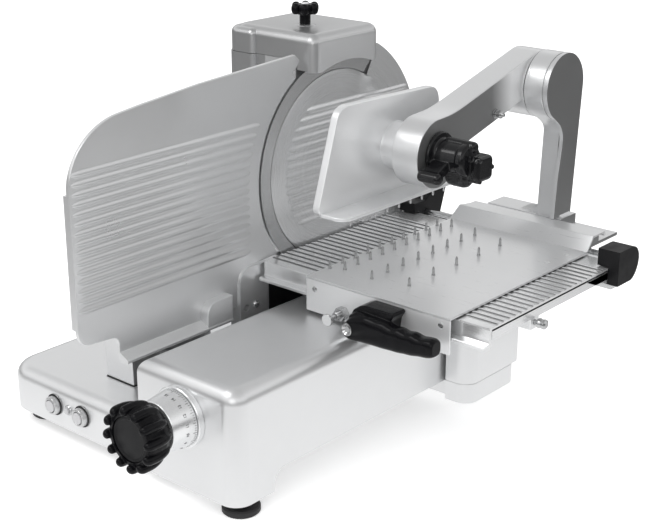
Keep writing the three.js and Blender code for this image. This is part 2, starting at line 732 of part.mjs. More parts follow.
// The rim stiffens the back of the plate along its free edges
function gaugeRim() {
  const x = [gaugeFace - gaugeThick - 9, gaugeFace - gaugeThick + 1];
  const left = block(...x, -60, -54, 122, 300);
  const low = block(...x, -38, 222, 101, 107);
  const bars = [60, 130].map((y) => block(...x, y, y + 6, 100, 380));
  return join(left, low, ...bars);
}

// The rail that the slices' edge runs on, and the stop block at its end
function ledge() {
  const shape = polygon([[gaugeFace - 1, 62], [12, 62], [14, 64], [14, 67], [0.5, 75], [gaugeFace - 1, 75]]);
  const stopOutline = roundedRect(150, 199, 63, ledgeZ[0] - 1, [0, 0, 0, 18]);
  return join(extrudeY(shape, 4, 199), extrudeX(stopOutline, gaugeFace - 1, 13.5, 0, 1, 3));
}

function gaugePlate() {
  const body = extrudeX(gaugeOutline(), gaugeFace - gaugeThick, gaugeFace, 0, 1, 8);
  const back = block(gaugeFace - gaugeThick, gaugeFace, 4, 222, 62, 74);
  const ribs = [];
  for (let i = 0; i < gaugeRibs; i += 1) {
    const z = gaugeRibTop - i * gaugeRibPitch;
    const lift = Math.max(z - knifeZ, 0);
    const right = knifeY - Math.sqrt((gaugeArcR + 18) ** 2 - lift ** 2);
    ribs.push(rib(-57, right, z, gaugeFace, 1.3));
  }
  return join(body, back, ledge(), gaugeRim(), ...ribs);
}
add('gauge_plate', castAluminium, gaugePlate());

function gaugeCarrier() {
  const plateBack = gaugeFace - gaugeThick - gap;
  const [left, right] = carrierX;
  const low = baseTop + runningGap;
  const pillarOutline = polygon([[left + 3, low], [right + 2, low], [right, 66], [plateBack, 66],
    [plateBack, 96], [left, 96]]);
  const pillar = extrudeY(pillarOutline, ...carrierY);
  const footBlock = block(slotX[0] + gaugeTravel + 3, slotX[1] - 3, 84, 201, -54, baseTop + 2);
  const bores = guideY.map((y) => rodX(guideR + gap, -130, -50, y, guideZ, 10));
  return cut(join(pillar, footBlock), ...bores,
    rodX(shaftR, carrierX[1] - 12, carrierX[1] + 10, driveRodY, dialZ, 12));
}
add('gauge_carrier', castAluminium, gaugeCarrier());
add('gauge_drive_rod', brushedSteel, turnedX([[0, carrierX[1] - 11.7], [shaftR - gap, carrierX[1] - 11.7],
  [shaftR - gap, dialX - camR - 6], [3.5, dialX - camR - 2.2], [1.5, dialX - camR - 0.6],
  [0, dialX - camR - 0.4]], driveRodY, dialZ, 12));
const guideRods = guideY.map((y) => rodX(guideR, lugX[0] - 2, lugX[1] + lugWidth + 2, y, guideZ, 10));
add('gauge_guide_rod_front', brushedSteel, guideRods[0]);
add('gauge_guide_rod_rear', brushedSteel, guideRods[1]);

add('dial_flange', polishedAluminium, ringY(shaftR + gap, 41, -9, -gap, dialX, dialZ, 20));
add('thickness_dial', polishedAluminium, turnedY([[shaftR + gap, -36], [dialR - 3, -36], [dialR, -12],
  [dialR, -9.6], [shaftR + gap, -9.6], [shaftR + gap, -36]], dialX, dialZ, 24));

const knobRear = -37;
const knobFront = -96;
const knobLobes = 12;
const discFront = knobFront + 9;
function thicknessKnob() {
  const perLobe = 2;
  const count = knobLobes * perLobe;
  const ringAt = ([y, valley, tip]) => Array.from({ length: count }, (_, i) => {
    const a = (i / count) * 2 * Math.PI;
    const r = valley + (tip - valley) * Math.abs(Math.cos(a * knobLobes / 2));
    return new THREE.Vector3(dialX + r * Math.cos(a), y, dialZ + r * Math.sin(a));
  });
  const rings = [[knobRear, 29.5, 32.5], [knobRear - 8, 32, 37.5], [knobFront + 24, 34, 43.8],
    [knobFront + 5, 33.5, 44.6], [knobFront, 31.5, 40.5]];
  return cut(loft(rings.map(ringAt)), rodAlongY(30, knobFront - 5, discFront + 4.7 + gap, dialX, dialZ, 20),
    rodAlongY(shaftR + gap, knobFront, knobRear + 5, dialX, dialZ, 16));
}
add('thickness_knob', blackPlastic, thicknessKnob());
add('dial_shaft', brushedSteel, rodAlongY(shaftR, discFront + 2, 150, dialX, dialZ, 16),
  rodAlongY(29.4, discFront, discFront + 4.7, dialX, dialZ, 20));

// The cam's edge is a spiral: it pushes the drive rod by the same amount for each degree
function camShape() {
  const steps = 24;
  const points = [];
  for (let i = 0; i <= steps; i += 1) {
    const share = i / steps;
    const angle = Math.PI - share * dialTurn;
    const r = camR + gaugeTravel * share;
    points.push([dialX + r * Math.cos(angle), dialZ + r * Math.sin(angle)]);
  }
  for (const [r, beyond] of [[camR + 4, 0.36], [camR, 0.2]]) {
    points.push([dialX + r * Math.cos(Math.PI + beyond), dialZ + r * Math.sin(Math.PI + beyond)]);
  }
  return polygon(points);
}
add('thickness_cam', brushedSteel, cut(extrudeY(camShape(), ...camY),
  rodAlongY(shaftR + gap, camY[0] - 5, camY[1] + 5, dialX, dialZ, 16)));

// Carriage: guide shaft, slider, arm, roller and its rail

function sliderBlock() {
  const y = [440, 530];
  const body = block(85, 155, ...y, -66, -24);
  const lip = block(150, armX[0] + 1, ...y, armBottom, armBottom + 22);
  const under = block(100, 155, ...y, armBottom, -60);
  const bore = rodAlongY(railR + 4 + gap, y[0] - 5, y[1] + 5, railX, railZ, 16);
  const axle = rodX(4, 150, rollerX[1] + 1, 485, rollerRailTop + rollerR + 0.2, 12);
  return join(cut(join(body, lip, under), bore), axle);
}

function carriageArm() {
  const upright = extrudeZ(roundedRect(armX[0], armX[1], ...armY, [0, 24, 12, 0]), armBottom, -45, 0, 1, 3);
  const upper = extrudeZ(roundedRect(armX[0], armX[1], armY[0], armY[1] + 14, [0, 24, 12, 0]), -45.5,
    beamZ[1], 0, 1, 3);
  const beam = block(60, 350, 446, 536, ...beamZ);
  return join(upright, upper, beam);
}
add('carriage_arm', castAluminium, carriageArm());
add('carriage_slider', castAluminium,
  cut(sliderBlock(), block(armX[0] - gap, armX[0] + 10, 400, 600, -90, -40)));
add('slider_bushing', bronze, ringY(railR + gap, railR + 4, 442, 528, railX, railZ, 16));
add('carriage_guide_shaft', brushedSteel,
  rodAlongY(railR, wall + gap, baseRear - wall - gap, railX, railZ, 16));
add('guide_roller', darkSteel, ringX(4 + gap, rollerR, rollerX[0] + 1, rollerX[1] - 1, 485,
  rollerRailTop + rollerR + 0.2, 12));

// Product table

function tableProfile() {
  const [y0, y1] = tableY;
  const points = [[y0, 116], [y0, tableTop - 2], [y0 + 2, tableTop]];
  const first = y0 + 18;
  const pitch = 13.6;
  for (let i = 0; i < tableRibs; i += 1) {
    const y = first + i * pitch;
    points.push([y, tableTop], [y + 1.6, tableTop + tableRibHeight], [y + 5.2, tableTop + tableRibHeight],
      [y + 6.8, tableTop]);
  }
  points.push([y1, tableTop], [y1, 112], [y1 - 5, 112], [y1 - 5, tableTop - tableThick],
    [y0 + 5, tableTop - tableThick], [y0 + 5, ledgeZ[1]], [y0 + 5, ledgeZ[0]], [ledgeY, ledgeZ[0]],
    [ledgeY, ledgeZ[1] - 1.5], [ledgeY + 2, ledgeZ[1]], [y0 - 1, ledgeZ[1] + 1], [y0, ledgeZ[1] + 3]);
  return polygon(points.reverse());
}

function table() {
  const skin = extrudeX(tableProfile(), ...tableX);
  const [y0, y1] = tableY;
  const pads = [block(tableX[0] + 2, tableX[0] + 8, y0 + 7, y1 - 5, 113, tableTop - 3),
    block(tableX[1] - 6, tableX[1], y0 + 6, y1 - 5, 113, tableTop - 3),
    block(90, 330, 446, 536, beamZ[1] + gap, tableTop - 3)];
  const gusset = extrudeX(polygon([[y1 - 86, 124], [y1 - 17, 94], [y1 - 2, 94], [y1 - 2, 124]]),
    tableX[1] - 6, tableX[1]);
  const boss = cut(block(tableX[1] - 22, tableX[1] - 1, knobY - 10, knobY + 10, 96, tableTop - 3),
    rodX(3 + gap, tableX[1] - 12, tableX[1] + 10, knobY, knobZ, 10));
  return join(skin, ...pads, gusset, boss);
}
add('product_table', polishedAluminium, table());

add('table_lock_knob', chrome, turnedX([[0, tableX[1] - 11], [3, tableX[1] - 11], [3, tableX[1] + 2],
  [6, tableX[1] + 4], [7, tableX[1] + 14], [4, tableX[1] + 17], [0, tableX[1] + 17]], knobY, knobZ, 14));

add('rear_guide_rod', brushedSteel, rodX(rodR, 8, 401, rodY, rodZ, 12));

// The brackets' rubber hooks over the table's ribs
const overTable = tableTop + tableRibHeight + gap + 0.1;

function bracketLeft() {
  const shape = polygon([[-32, overTable], [-32, 147], [-4, 147], [13, 158], [51, 158], [37, 116],
    [-19, 112], [tableY[1] + gap - rodY, overTable]].map(([y, z]) => [rodY + y, z]));
  return cut(extrudeX(shape, 4.5, 36, 1.5, 1), rodX(rodR + gap, 7.7, 50, rodY, rodZ, 12));
}
add('rod_bracket_left', rubber, bracketLeft());

function capOutline() {
  const shape = new THREE.Shape();
  const [front, mid, rear] = [rodY - 50, rodY - 15, rodY + 7];
  const [low, high] = [rodZ - 21, rodZ + 29.5];
  shape.moveTo(front, low);
  shape.lineTo(mid, low);
  shape.bezierCurveTo(rodY - 3, low, rear, rodZ - 5, rear, rodZ + 7);
  shape.bezierCurveTo(rear, rodZ + 21, rodY - 3, high, mid, high);
  shape.lineTo(front, high);
  return shape;
}
function bracketRight() {
  const body = extrudeX(capOutline(), 373, 407, 2, 1, 4);
  const tableRoom = block(370, tableX[1] + gap, rodY - 65, tableY[1] + gap, 100, overTable);
  return cut(body, tableRoom, rodX(rodR + gap, 360, 401.3, rodY, rodZ, 12));
}
add('rod_bracket_right', rubber, bracketRight());

// Slide plate with its spikes, front plate and rod blocks

function slidePlate() {
  const z = plateZ;
  const [bend, hem] = flangeY;
  const shape = polygon([[plateFront, z], [plateBend + 1, z], [bend, flangeZ - sheet], [hem, flangeZ - sheet],
    [hem + 3.3, flangeZ - 8], [hem + 6.2, flangeZ - 8], [hem + 2, flangeZ], [bend - 1.5, flangeZ],
    [plateBend - 1, z + sheet], [plateFront, z + sheet]]);
  const body = extrudeX(shape, ...plateX);
  const left = plateX[0];
  const corner = extrudeZ(polygon([[left - 5, plateBend], [left, plateBend], [left + 14, bend + 15.5],
    [left + 14, hem + 22], [left - 5, hem + 22]]), z - 5, flangeZ + 10);
  const spikes = spikeRows.flatMap(({ x, y, pitch, count }) =>
    Array.from({ length: count }, (_, i) => spike(x, y + i * pitch)));
  return join(cut(body, corner), ...spikes);
}

const spikeRows = [{ x: 104, y: 300, pitch: 27.8, count: 10 }, { x: 123, y: 310, pitch: 27.9, count: 10 },
  { x: 174, y: 306, pitch: 34.8, count: 8 }, { x: 229, y: 318, pitch: 54.2, count: 5 }];
function spike(x, y) {
  const z = plateZ + sheet - 1;
  return turnedZ([[0, z], [2, z], [0, z + 14]], x, y, 4);
}
add('slide_plate', brushedSteel, slidePlate());

const apronX = plateX;
const screwPlaces = [[113, 118], [326, 122]];
const plungerX = 165;
const plungerZ = 97;
const plungerR = 3.4;
function apron() {
  const face = block(...apronX, plateFront, plateFront + sheet, apronBottom, plateZ - gap);
  const nut = rodAlongY(9, 246, plateFront + 1, plungerX, plungerZ, 6);
  const collar = rodAlongY(5.5, 239, 247, plungerX, plungerZ, 12);
  const plungerWay = rodAlongY(plungerR + gap, 230, plateFront + 10, plungerX, plungerZ, 12);
  const screws = screwPlaces.map(([x, z]) => rodAlongY(4, plateFront - 1.4, plateFront + 1, x, z, 8));
  return cut(join(face, nut, collar, ...screws), plungerWay);
}
add('front_plate', brushedSteel, apron());

// Push handle: a neck from the front plate and a tapered grip along X
function ellipseRing(centre, u, v, count = 10) {
  return Array.from({ length: count }, (_, i) => {
    const a = (i / count) * 2 * Math.PI;
    return centre.clone().addScaledVector(u, Math.cos(a)).addScaledVector(v, Math.sin(a));
  });
}

const boltPlace = [206, 97];
function pushHandle() {
  const at = (x, y, z) => new THREE.Vector3(x, y, z);
  const grip = loft([[196, 110, 4, 8], [200, 109, 9, 16], [212, 107, 12, 21], [232, 105.5, 12, 18],
    [262, 104, 12, 14.5], [300, 103, 12, 13.5], [334, 102.5, 11.5, 13], [341, 102.5, 10, 11.5]]
    .map(([x, z, ry, rz]) => ellipseRing(at(x, 227, z), at(0, ry, 0), at(0, 0, rz))));
  const neck = loft([[plateFront - gap, 240, 117, 24, 13], [250, 240, 117, 24, 13], [240, 236, 113, 22, 15],
    [230, 226, 109, 19, 17]].map(([y, x, z, rx, rz]) => ellipseRing(at(x, y, z), at(rx, 0, 0), at(0, 0, -rz))));
  return cut(join(grip, neck), rodAlongY(9 + gap, 200, 219, ...boltPlace, 12));
}
add('push_handle', blackPlastic, pushHandle());
add('handle_bolt', chrome, turnedY([[0, 213], [7, 213], [9, 215], [9, 219 - gap], [0, 219 - gap]],
  ...boltPlace, 12));

add('index_plunger', chrome, turnedY([[0, 222], [8.5, 222], [8.5, 225], [plungerR, 226.5],
  [plungerR, ledgeY - gap], [0, ledgeY - gap]], plungerX, plungerZ, 12));

// Post foot, blocks on the guide rod and the post itself

const rodBlockX = [[138, 164], [300, 328]];
function postFoot() {
  const x = [130, 334];
  const front = rodY - 11;
  const rear = pivotY + 42;
  const seat = plateZ + sheet - 0.2;
  const under = block(...x, front, rear, seat, seat + 5.7);
  const bar = block(...x, flangeY[0] + 3.5, flangeY[1] - 2.5, seat + 4.7, flangeZ - sheet - gap);
  const step = block(130, 262, flangeY[1] + 7, rear, seat + 4.7, flangeZ);
  const blocks = rodBlockX.map(([x0, x1]) => block(x0, x1, front, rodY + 12, rodZ - 14, seat + 1.7));
  const bore = rodX(rodR + gap, x[0] - 5, x[1] + 5, rodY, rodZ, 12);
  return cut(join(under, bar, step, ...blocks), bore);
}

function postOutline() {
  const shape = new THREE.Shape();
  const low = THREE.MathUtils.degToRad(232);
  shape.moveTo(pivotY - 2, flangeZ - 1);
  shape.lineTo(pivotY + 4, 280);
  shape.quadraticCurveTo(pivotY + 3, 300, pivotY + headR * Math.cos(low), pivotZ + headR * Math.sin(low));
  shape.absarc(pivotY, pivotZ, headR, low, THREE.MathUtils.degToRad(-6), true);
  shape.lineTo(pivotY + 36, flangeZ - 1);
  return shape;
}

function post() {
  const leg = extrudeX(postOutline(), ...postX, 0, 1, 7);
  const head = rodX(headR, hubFace + 0.5, postX[0] + 1, pivotY, pivotZ, 24);
  const edgeRib = extrudeX(polygon([[12, flangeZ - 1], [-2, flangeZ - 1], [-2, flangeZ + gap],
    [-11.4, flangeZ + gap], [-10, 175], [-6.5, 216], [-0.3, 260], [7, 288], [14, 296]]
    .map(([y, z]) => [pivotY + y, z])), postX[1] - 5, postX[1]);
  const flareOutline = polygon([[180, flangeZ - 1], [262, flangeZ - 1], [256, flangeZ + 2],
    [250, flangeZ + 8], [224, flangeZ + 24], [217, flangeZ + 12], [204, flangeZ + 4]]);
  const flare = extrudeY(flareOutline, pivotY + 2, pivotY + 34);
  const pinBore = rodX(pinR + gap, hubFace - 5, 245, pivotY, pivotZ, 16);
  return cut(join(leg, edgeRib, head, flare, postFoot()), pinBore);
}
add('post', castAluminium, post());

// Swing arm with its pin, and the lubricating nipple on its side

function swingOutline() {
  const shape = new THREE.Shape();
  const top = THREE.MathUtils.degToRad(105);
  const low = THREE.MathUtils.degToRad(201);
  shape.absarc(bossY, bossZ, bossR, THREE.MathUtils.degToRad(88), THREE.MathUtils.degToRad(358), false);
  shape.quadraticCurveTo(456, 298, 475, 303);
  shape.lineTo(563, 326);
  shape.quadraticCurveTo(585, 332, pivotY + headR * Math.cos(low), pivotZ + headR * Math.sin(low));
  shape.absarc(pivotY, pivotZ, headR - 0.5, low, top + 2 * Math.PI, false);
  shape.lineTo(463, 356);
  shape.quadraticCurveTo(440, 350, 420, 348);
  return shape;
}

function swingArm() {
  const bar = extrudeX(swingOutline(), ...swingX, 0, 1, 6);
  const hub = rodX(headR - 0.5, swingX[0] + 5, hubFace, pivotY, pivotZ, 22);
  const pinHead = swingX[0] + 1;
  const pin = turnedX([[0, 164], [17, 164], [17, pinHead], [pinR, pinHead], [pinR, 244], [0, 244]],
    pivotY, pivotZ, 16);
  return cut(join(bar, hub, pin), rodX(10 + gap, 160, 230, bossY, bossZ, 16));
}
add('swing_arm', castAluminium, swingArm());
add('grease_nipple', chrome, turnedX([[0, swingX[1] + gap], [4.5, swingX[1] + gap], [4.5, 216], [3, 217],
  [3.5, 222], [2, 225], [0, 225]], 531, 330, 8));

// Product pusher: dished plate with a shelf, spindle and clamping grip

function pusherOutline(inset) {
  const shape = new THREE.Shape();
  const i = inset;
  shape.moveTo(250 + i, 229 + i);
  shape.lineTo(488 - i, 229 + i);
  shape.quadraticCurveTo(500 - i, 229 + i, 500 - i, 241 + i);
  shape.lineTo(500 - i, 345);
  shape.quadraticCurveTo(498 - i, 365 - i, 478 - i, 367 - i);
  shape.lineTo(300 + i, 372 - i);
  shape.quadraticCurveTo(278 + i, 372 - i, 274 + i, 354);
  shape.lineTo(239 + i, 245 + i);
  shape.quadraticCurveTo(237 + i, 231 + i, 250 + i, 229 + i);
  return shape;
}

function pusherPlate() {
  const dish = cut(extrudeX(pusherOutline(0), ...pusherX, 2.5, 1, 3),
    extrudeX(pusherOutline(5), pusherX[0] - 5, pusherX[1] - 4, 0, 1, 2));
  const shelf = extrudeZ(roundedRect(pusherX[1] - 3, 177, 243, 498, [0, 18, 18, 0]), 229, 234.5, 0, 1, 3);
  const boss = rodX(33, pusherX[1] - 1, swingX[0] - gap, bossY, bossZ, 18);
  const spindle = rodX(spindleR, swingX[0] - 5, 236, bossY, bossZ, 16);
  const pins = Array.from({ length: 9 }, (_, i) =>
    turnedZ([[0, 221], [1.5, 222], [1.5, 230], [0, 230]], 172, 262 + i * 26, 4));
  return join(dish, shelf, boss, spindle, ...pins);
}
add('pusher_plate', castAluminium, pusherPlate());

function clampGrip() {
  const face = swingX[1] + gap;
  const hub = turnedX([[0, face], [30, face], [30, face + 5], [23, face + 8], [23, face + 48],
    [0, face + 48]], bossY, bossZ, 14);
  const core = rodX(31, face + 40, face + 54, bossY, bossZ, 12);
  const bars = [97, 217, 337].map((degrees) => {
    const a = THREE.MathUtils.degToRad(degrees);
    const [c, s] = [Math.cos(a), Math.sin(a)];
    const at = (along, across) => [bossY + along * c + across * s, bossZ + along * s - across * c];
    const web = extrudeX(polygon([at(15, 12), at(38, 9), at(38, -9), at(15, -12)]), face + 40, face + 56);
    const bar = turnedX([[0, face + 5], [8, face + 6], [9.2, face + 12], [9.2, face + 56], [6, face + 61],
      [0, face + 61]], ...at(38, 0), 8);
    return join(web, bar);
  });
  return cut(join(hub, core, ...bars), rodX(spindleR + gap, 200, 236.4, bossY, bossZ, 16));
}
add('clamp_grip', blackPlastic, clampGrip());

// The finished part, with the middle of its footprint at the origin
const group = new THREE.Group();
const model = new THREE.Group();
model.add(...meshes);
group.add(model);
const box = new THREE.Box3().setFromObject(model);
const middle = box.getCenter(new THREE.Vector3());
model.position.set(-middle.x, -middle.y, -box.min.z);
group.updateMatrixWorld(true);

export default group;
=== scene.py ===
"""Studio picture of a vertical food slicer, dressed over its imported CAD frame.

Places are written in the drawing's millimetres: X = 0 is the plane of the knife
edge, Y = 0 the front of the base, Z up. p() turns them into the frame's metres.
"""
from math import atan2, copysign, cos, degrees, hypot, pi, radians, sin, sqrt

import bmesh
import bpy
from mathutils import Matrix, Vector

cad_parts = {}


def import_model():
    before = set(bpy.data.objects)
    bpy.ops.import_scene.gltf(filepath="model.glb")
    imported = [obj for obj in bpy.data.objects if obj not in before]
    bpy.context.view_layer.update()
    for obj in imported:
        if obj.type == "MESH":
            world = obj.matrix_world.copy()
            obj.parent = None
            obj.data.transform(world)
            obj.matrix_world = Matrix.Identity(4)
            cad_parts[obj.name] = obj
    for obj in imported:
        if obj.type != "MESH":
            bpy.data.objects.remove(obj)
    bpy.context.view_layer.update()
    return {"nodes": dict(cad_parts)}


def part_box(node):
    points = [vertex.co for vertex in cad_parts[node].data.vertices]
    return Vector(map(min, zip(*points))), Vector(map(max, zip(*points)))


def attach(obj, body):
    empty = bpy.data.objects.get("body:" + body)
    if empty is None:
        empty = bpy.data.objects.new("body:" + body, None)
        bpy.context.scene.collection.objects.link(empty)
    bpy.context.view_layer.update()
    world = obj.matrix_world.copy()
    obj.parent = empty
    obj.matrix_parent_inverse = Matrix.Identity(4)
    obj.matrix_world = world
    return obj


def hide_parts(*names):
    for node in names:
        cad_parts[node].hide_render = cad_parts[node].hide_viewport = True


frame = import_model()
nodes = frame["nodes"]

MM = 0.001

# Places that several pieces share. Pairs are the two coordinates across the piece's axis.
KNIFE = KNIFE_Y, KNIFE_Z = 437.5, 237.5
GUARD, GUARD_R = (-62, 62), 190         # the rear guard's arc in degrees, its outer radius
RIB_STEP = 12.64
BUTTON_X, BUTTON_Z, LAMP_X = (-141, -83), -42, -112
DIAL = (117, 24.2)
STAR = (-48, 421)
TABLE_TOP, SHEET_Z = 129.5, 131.5
ROD, LOCK = (615, 127), (381, 106)
PLUNGER, BOLT = (165, 97), (206, 97)
HANDLE_Y = 227
HEAD, BOSS, NIPPLE = (648, 354.5), (400, 298), (531, 330)
GROUND = -95
INNER = 0.01                            # radius of a lathe's closed end

_low, _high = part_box("knife")
SHIFT = Vector((_high.x * 1000, (_low.y + _high.y) * 500 - KNIFE_Y, (_low.z + _high.z) * 500 - KNIFE_Z))


def p(x, y, z):
    return Vector(((x + SHIFT.x) * MM, (y + SHIFT.y) * MM, (z + SHIFT.z) * MM))


# Materials

def fill(node, **values):
    """Sets a node's inputs; in their names _ stands for a space."""
    for name, value in values.items():
        node.inputs[name.replace("_", " ")].default_value = value
    return node


def add(tree, kind, **values):
    return fill(tree.nodes.new("ShaderNode" + kind), **values)


def link(a, b):
    b.id_data.links.new(a, b)


def new_material(name, **values):
    mat = bpy.data.materials.new(name)
    mat.use_nodes = True
    return mat, mat.node_tree, fill(mat.node_tree.nodes["Principled BSDF"], **values)


def coordinates(tree, scale=(1, 1, 1)):
    mapping = add(tree, "Mapping", Scale=scale)
    link(add(tree, "TexCoord").outputs["Object"], mapping.inputs["Vector"])
    return mapping.outputs["Vector"]


def noise(vector, scale, detail=3.0, rough=0.55):
    n = add(vector.id_data, "TexNoise", Scale=scale, Detail=detail, Roughness=rough)
    link(vector, n.inputs["Vector"])
    return n.outputs["Fac"]


def spread(value, low, high, from_low=0.3, from_high=0.7):
    m = add(value.id_data, "MapRange", From_Min=from_low, From_Max=from_high, To_Min=low, To_Max=high)
    link(value, m.inputs["Value"])
    return m.outputs["Result"]


def tinted(value, dark, light):
    mix = add(value.id_data, "Mix")
    mix.data_type = "RGBA"
    fill(mix, A=(*dark, 1), B=(*light, 1))
    link(value, mix.inputs["Factor"])
    return mix.outputs["Result"]


def ramp(value, stops):
    node = add(value.id_data, "ValToRGB")
    ends = node.color_ramp.elements
    for end, (at, v) in zip(ends, (stops[0], stops[-1])):
        end.position, end.color = at, (v, v, v, 1)
    for at, v in stops[1:-1]:
        ends.new(at).color = (v, v, v, 1)
    link(value, node.inputs["Fac"])
    return node.outputs["Color"]


def vector_math(vector, operation, by=(0, 0, 0)):
    n = add(vector.id_data, "VectorMath")
    n.operation = operation
    n.inputs[1].default_value = by
    link(vector, n.inputs[0])
    return n.outputs["Value" if operation == "LENGTH" else "Vector"]


def mix_shader(factor, a, b):
    mix = add(factor.id_data, "MixShader")
    link(factor, mix.inputs["Fac"])
    link(a, mix.inputs[1])
    link(b, mix.inputs[2])
    return mix.outputs["Shader"]


def bump(shader, height, strength, distance):
    b = add(shader.id_data, "Bump", Strength=strength, Distance=distance)
    link(height, b.inputs["Height"])
    link(b.outputs["Normal"], shader.inputs["Normal"])


def grey(v):
    return (v * 0.985, v * 0.992, v)


def blasted_metal(name, tone, rough, grain=0.25, metallic=1.0, lift=None):
    """Cast metal with a fine blasted grain and slow patches of gloss. lift gives two places
    along Y, between which it turns paler and duller: painted light on a side painted in shade."""
    mat, tree, s = new_material(name, Metallic=metallic)
    v = coordinates(tree)
    patches = noise(v, 9.0, 4.0)
    colour = tinted(spread(patches, 0.0, 1.0), grey(tone * 0.95), grey(tone))
    if lift:
        y0, y1, light, dull = lift
        split = add(tree, "SeparateXYZ")
        link(v, split.inputs["Vector"])
        paler = tinted(spread(split.outputs["Y"], 0.0, 1.0, y0, y1), grey(tone), grey(light))
        link(colour, paler.node.inputs["A"])
        colour = paler
        link(spread(split.outputs["Y"], metallic, dull, y0, y1), s.inputs["Metallic"])
    link(colour, s.inputs["Base Color"])
    link(spread(patches, rough - 0.04, rough + 0.05), s.inputs["Roughness"])
    bump(s, noise(v, 1400.0, 2.0, 0.7), grain, 0.00012)
    return mat


def brushed_metal(name, tone, rough, stretch, strength=0.12, metallic=1.0):
    """Rolled or ground metal, with scratches along the axis where stretch is small."""
    mat, tree, s = new_material(name, Metallic=metallic)
    lines = noise(coordinates(tree, stretch), 900.0, 4.0, 0.7)
    slow = noise(coordinates(tree), 7.0, 3.0)
    link(tinted(spread(slow, 0.0, 1.0), grey(tone * 0.96), grey(tone)), s.inputs["Base Color"])
    link(spread(lines, rough - 0.03, rough + 0.04), s.inputs["Roughness"])
    bump(s, lines, strength, 0.00004)
    return mat


def turned_metal(name, tone, rough, metallic=1.0):
    """Ground in rings about the knife's axis."""
    mat, tree, s = new_material(name, Metallic=metallic)
    place = add(tree, "TexCoord").outputs["Object"]
    flat = vector_math(vector_math(place, "SUBTRACT", p(0, *KNIFE)), "MULTIPLY", (0, 1, 1))
    rings = add(tree, "TexNoise", Scale=2600.0, Detail=3.0)
    rings.noise_dimensions = "1D"
    link(vector_math(flat, "LENGTH"), rings.inputs["W"])
    slow = noise(place, 8.0, 2.0)
    link(tinted(spread(slow, 0.0, 1.0), grey(tone * 0.95), grey(tone)), s.inputs["Base Color"])
    link(spread(rings.outputs["Fac"], rough - 0.02, rough + 0.03), s.inputs["Roughness"])
    bump(s, rings.outputs["Fac"], 0.05, 0.00003)
    return mat


def moulded(name, tone, rough, coat, pebble=0.05, grain=500.0, gloss=0.5):
    """Plastic, rubber or stone with a pebbled skin."""
    mat, tree, s = new_material(name, Coat_Weight=coat, Coat_Roughness=0.08, IOR=1.5,
                                Specular_IOR_Level=gloss)
    v = coordinates(tree)
    link(tinted(noise(v, 25.0, 3.0), tuple(t * 0.8 for t in tone), tone), s.inputs["Base Color"])
    link(spread(noise(v, 60.0), rough - 0.05, rough + 0.08), s.inputs["Roughness"])
    bump(s, noise(v, grain, 2.0), pebble, 0.0002)
    return mat


ALONG_X, ALL_WAYS = (0.02, 1, 1), (1, 1, 1)
cast = blasted_metal("cast_aluminium", 0.82, 0.34, 0.14, 0.8)
cast_soft = blasted_metal("cast_satin", 0.77, 0.31, 0.14, 0.74)
cast_upper = blasted_metal("cast_upper", 0.64, 0.34, 0.16, 0.9)
# Dark copy of the cast metal for faces that look along +X: painted shade.
cast_painted_shade = blasted_metal("cast_painted_shade", 0.36, 0.4, 0.2, 0.9)
# Dark copy for the swing arm's +X faces, painted shade, turning paler between Y 522 and 572 towards the head:
# painted light.
arm_painted_light_and_shade = blasted_metal("arm_painted_light_and_shade", 0.38, 0.4, 0.2, 0.9, (p(0, 522, 0).y, p(0, 572, 0).y, 0.74, 0.48))
# Dark metal for the table's rib slopes that face -Y: painted shade under each rib.
rib_painted_shade = brushed_metal("rib_painted_shade", 0.26, 0.3, ALONG_X, 0.02)
pusher_metal = brushed_metal("pusher_brushed", 0.85, 0.3, ALONG_X, 0.02, 0.6)
plate_metal = brushed_metal("plate_brushed", 0.78, 0.3, ALONG_X, 0.02, 0.68)
table_metal = brushed_metal("table_polished", 0.9, 0.22, ALONG_X, 0.02, 0.78)
sheet_metal = brushed_metal("sheet_brushed", 0.85, 0.32, ALONG_X, 0.02, 0.55)
spike_metal = brushed_metal("spike_steel", 0.5, 0.26, ALL_WAYS, 0.02)
rod_metal = brushed_metal("rod_ground", 0.75, 0.14, (1, 1, 0.05), 0.05)
knife_metal = turned_metal("knife_ground", 0.66, 0.22, 0.85)
cover_metal = turned_metal("cover_turned", 0.79, 0.27, 0.74)
chrome = brushed_metal("chrome_bright", 0.6, 0.12, ALL_WAYS, 0.02)
collar_metal = blasted_metal("collar_satin", 0.66, 0.3, 0.08, 0.8)
dark_metal = blasted_metal("dark_steel", 0.2, 0.5)
black = moulded("black_gloss", (0.005, 0.005, 0.006), 0.2, 0.06, 0.04, 260.0, 0.12)
grip_black = moulded("grip_gloss", (0.006, 0.006, 0.007), 0.14, 0.3, 0.03, 260.0, 0.3)
dull_black = moulded("black_satin", (0.01, 0.01, 0.011), 0.4, 0.0, 0.12, 900.0, 0.18)
rubber = moulded("rubber_black", (0.015, 0.015, 0.016), 0.6, 0.0, 0.2, 1500.0)
ink = moulded("ink", (0.02, 0.02, 0.022), 0.6, 0.0)
pale = moulded("pale_plastic", (0.5, 0.5, 0.51), 0.36, 0.1, 0.05)
board = moulded("board_green", (0.03, 0.12, 0.06), 0.45, 0.2)
stone = moulded("stone_grit", (0.3, 0.26, 0.23), 0.9, 0.0, 0.8, 1200.0)
copper = blasted_metal("bronze_sintered", 0.4, 0.45)
SLOTS = {mat.name: slot for slot, mats in (
    ("castAluminium", (cast, cast_soft, cast_upper, cover_metal, pusher_metal)),
    ("polishedAluminium", (table_metal,)), ("chrome", (chrome, collar_metal, spike_metal)),
    ("brushedSteel", (knife_metal, sheet_metal, rod_metal, plate_metal)),
    ("blackPlastic", (black, grip_black)), ("rubber", (rubber, dull_black)), ("palePlastic", (pale,)))
    for mat in mats}


# Mesh making

def put_in_scene(name, data):
    obj = bpy.data.objects.new(name, data)
    bpy.context.scene.collection.objects.link(obj)
    return obj


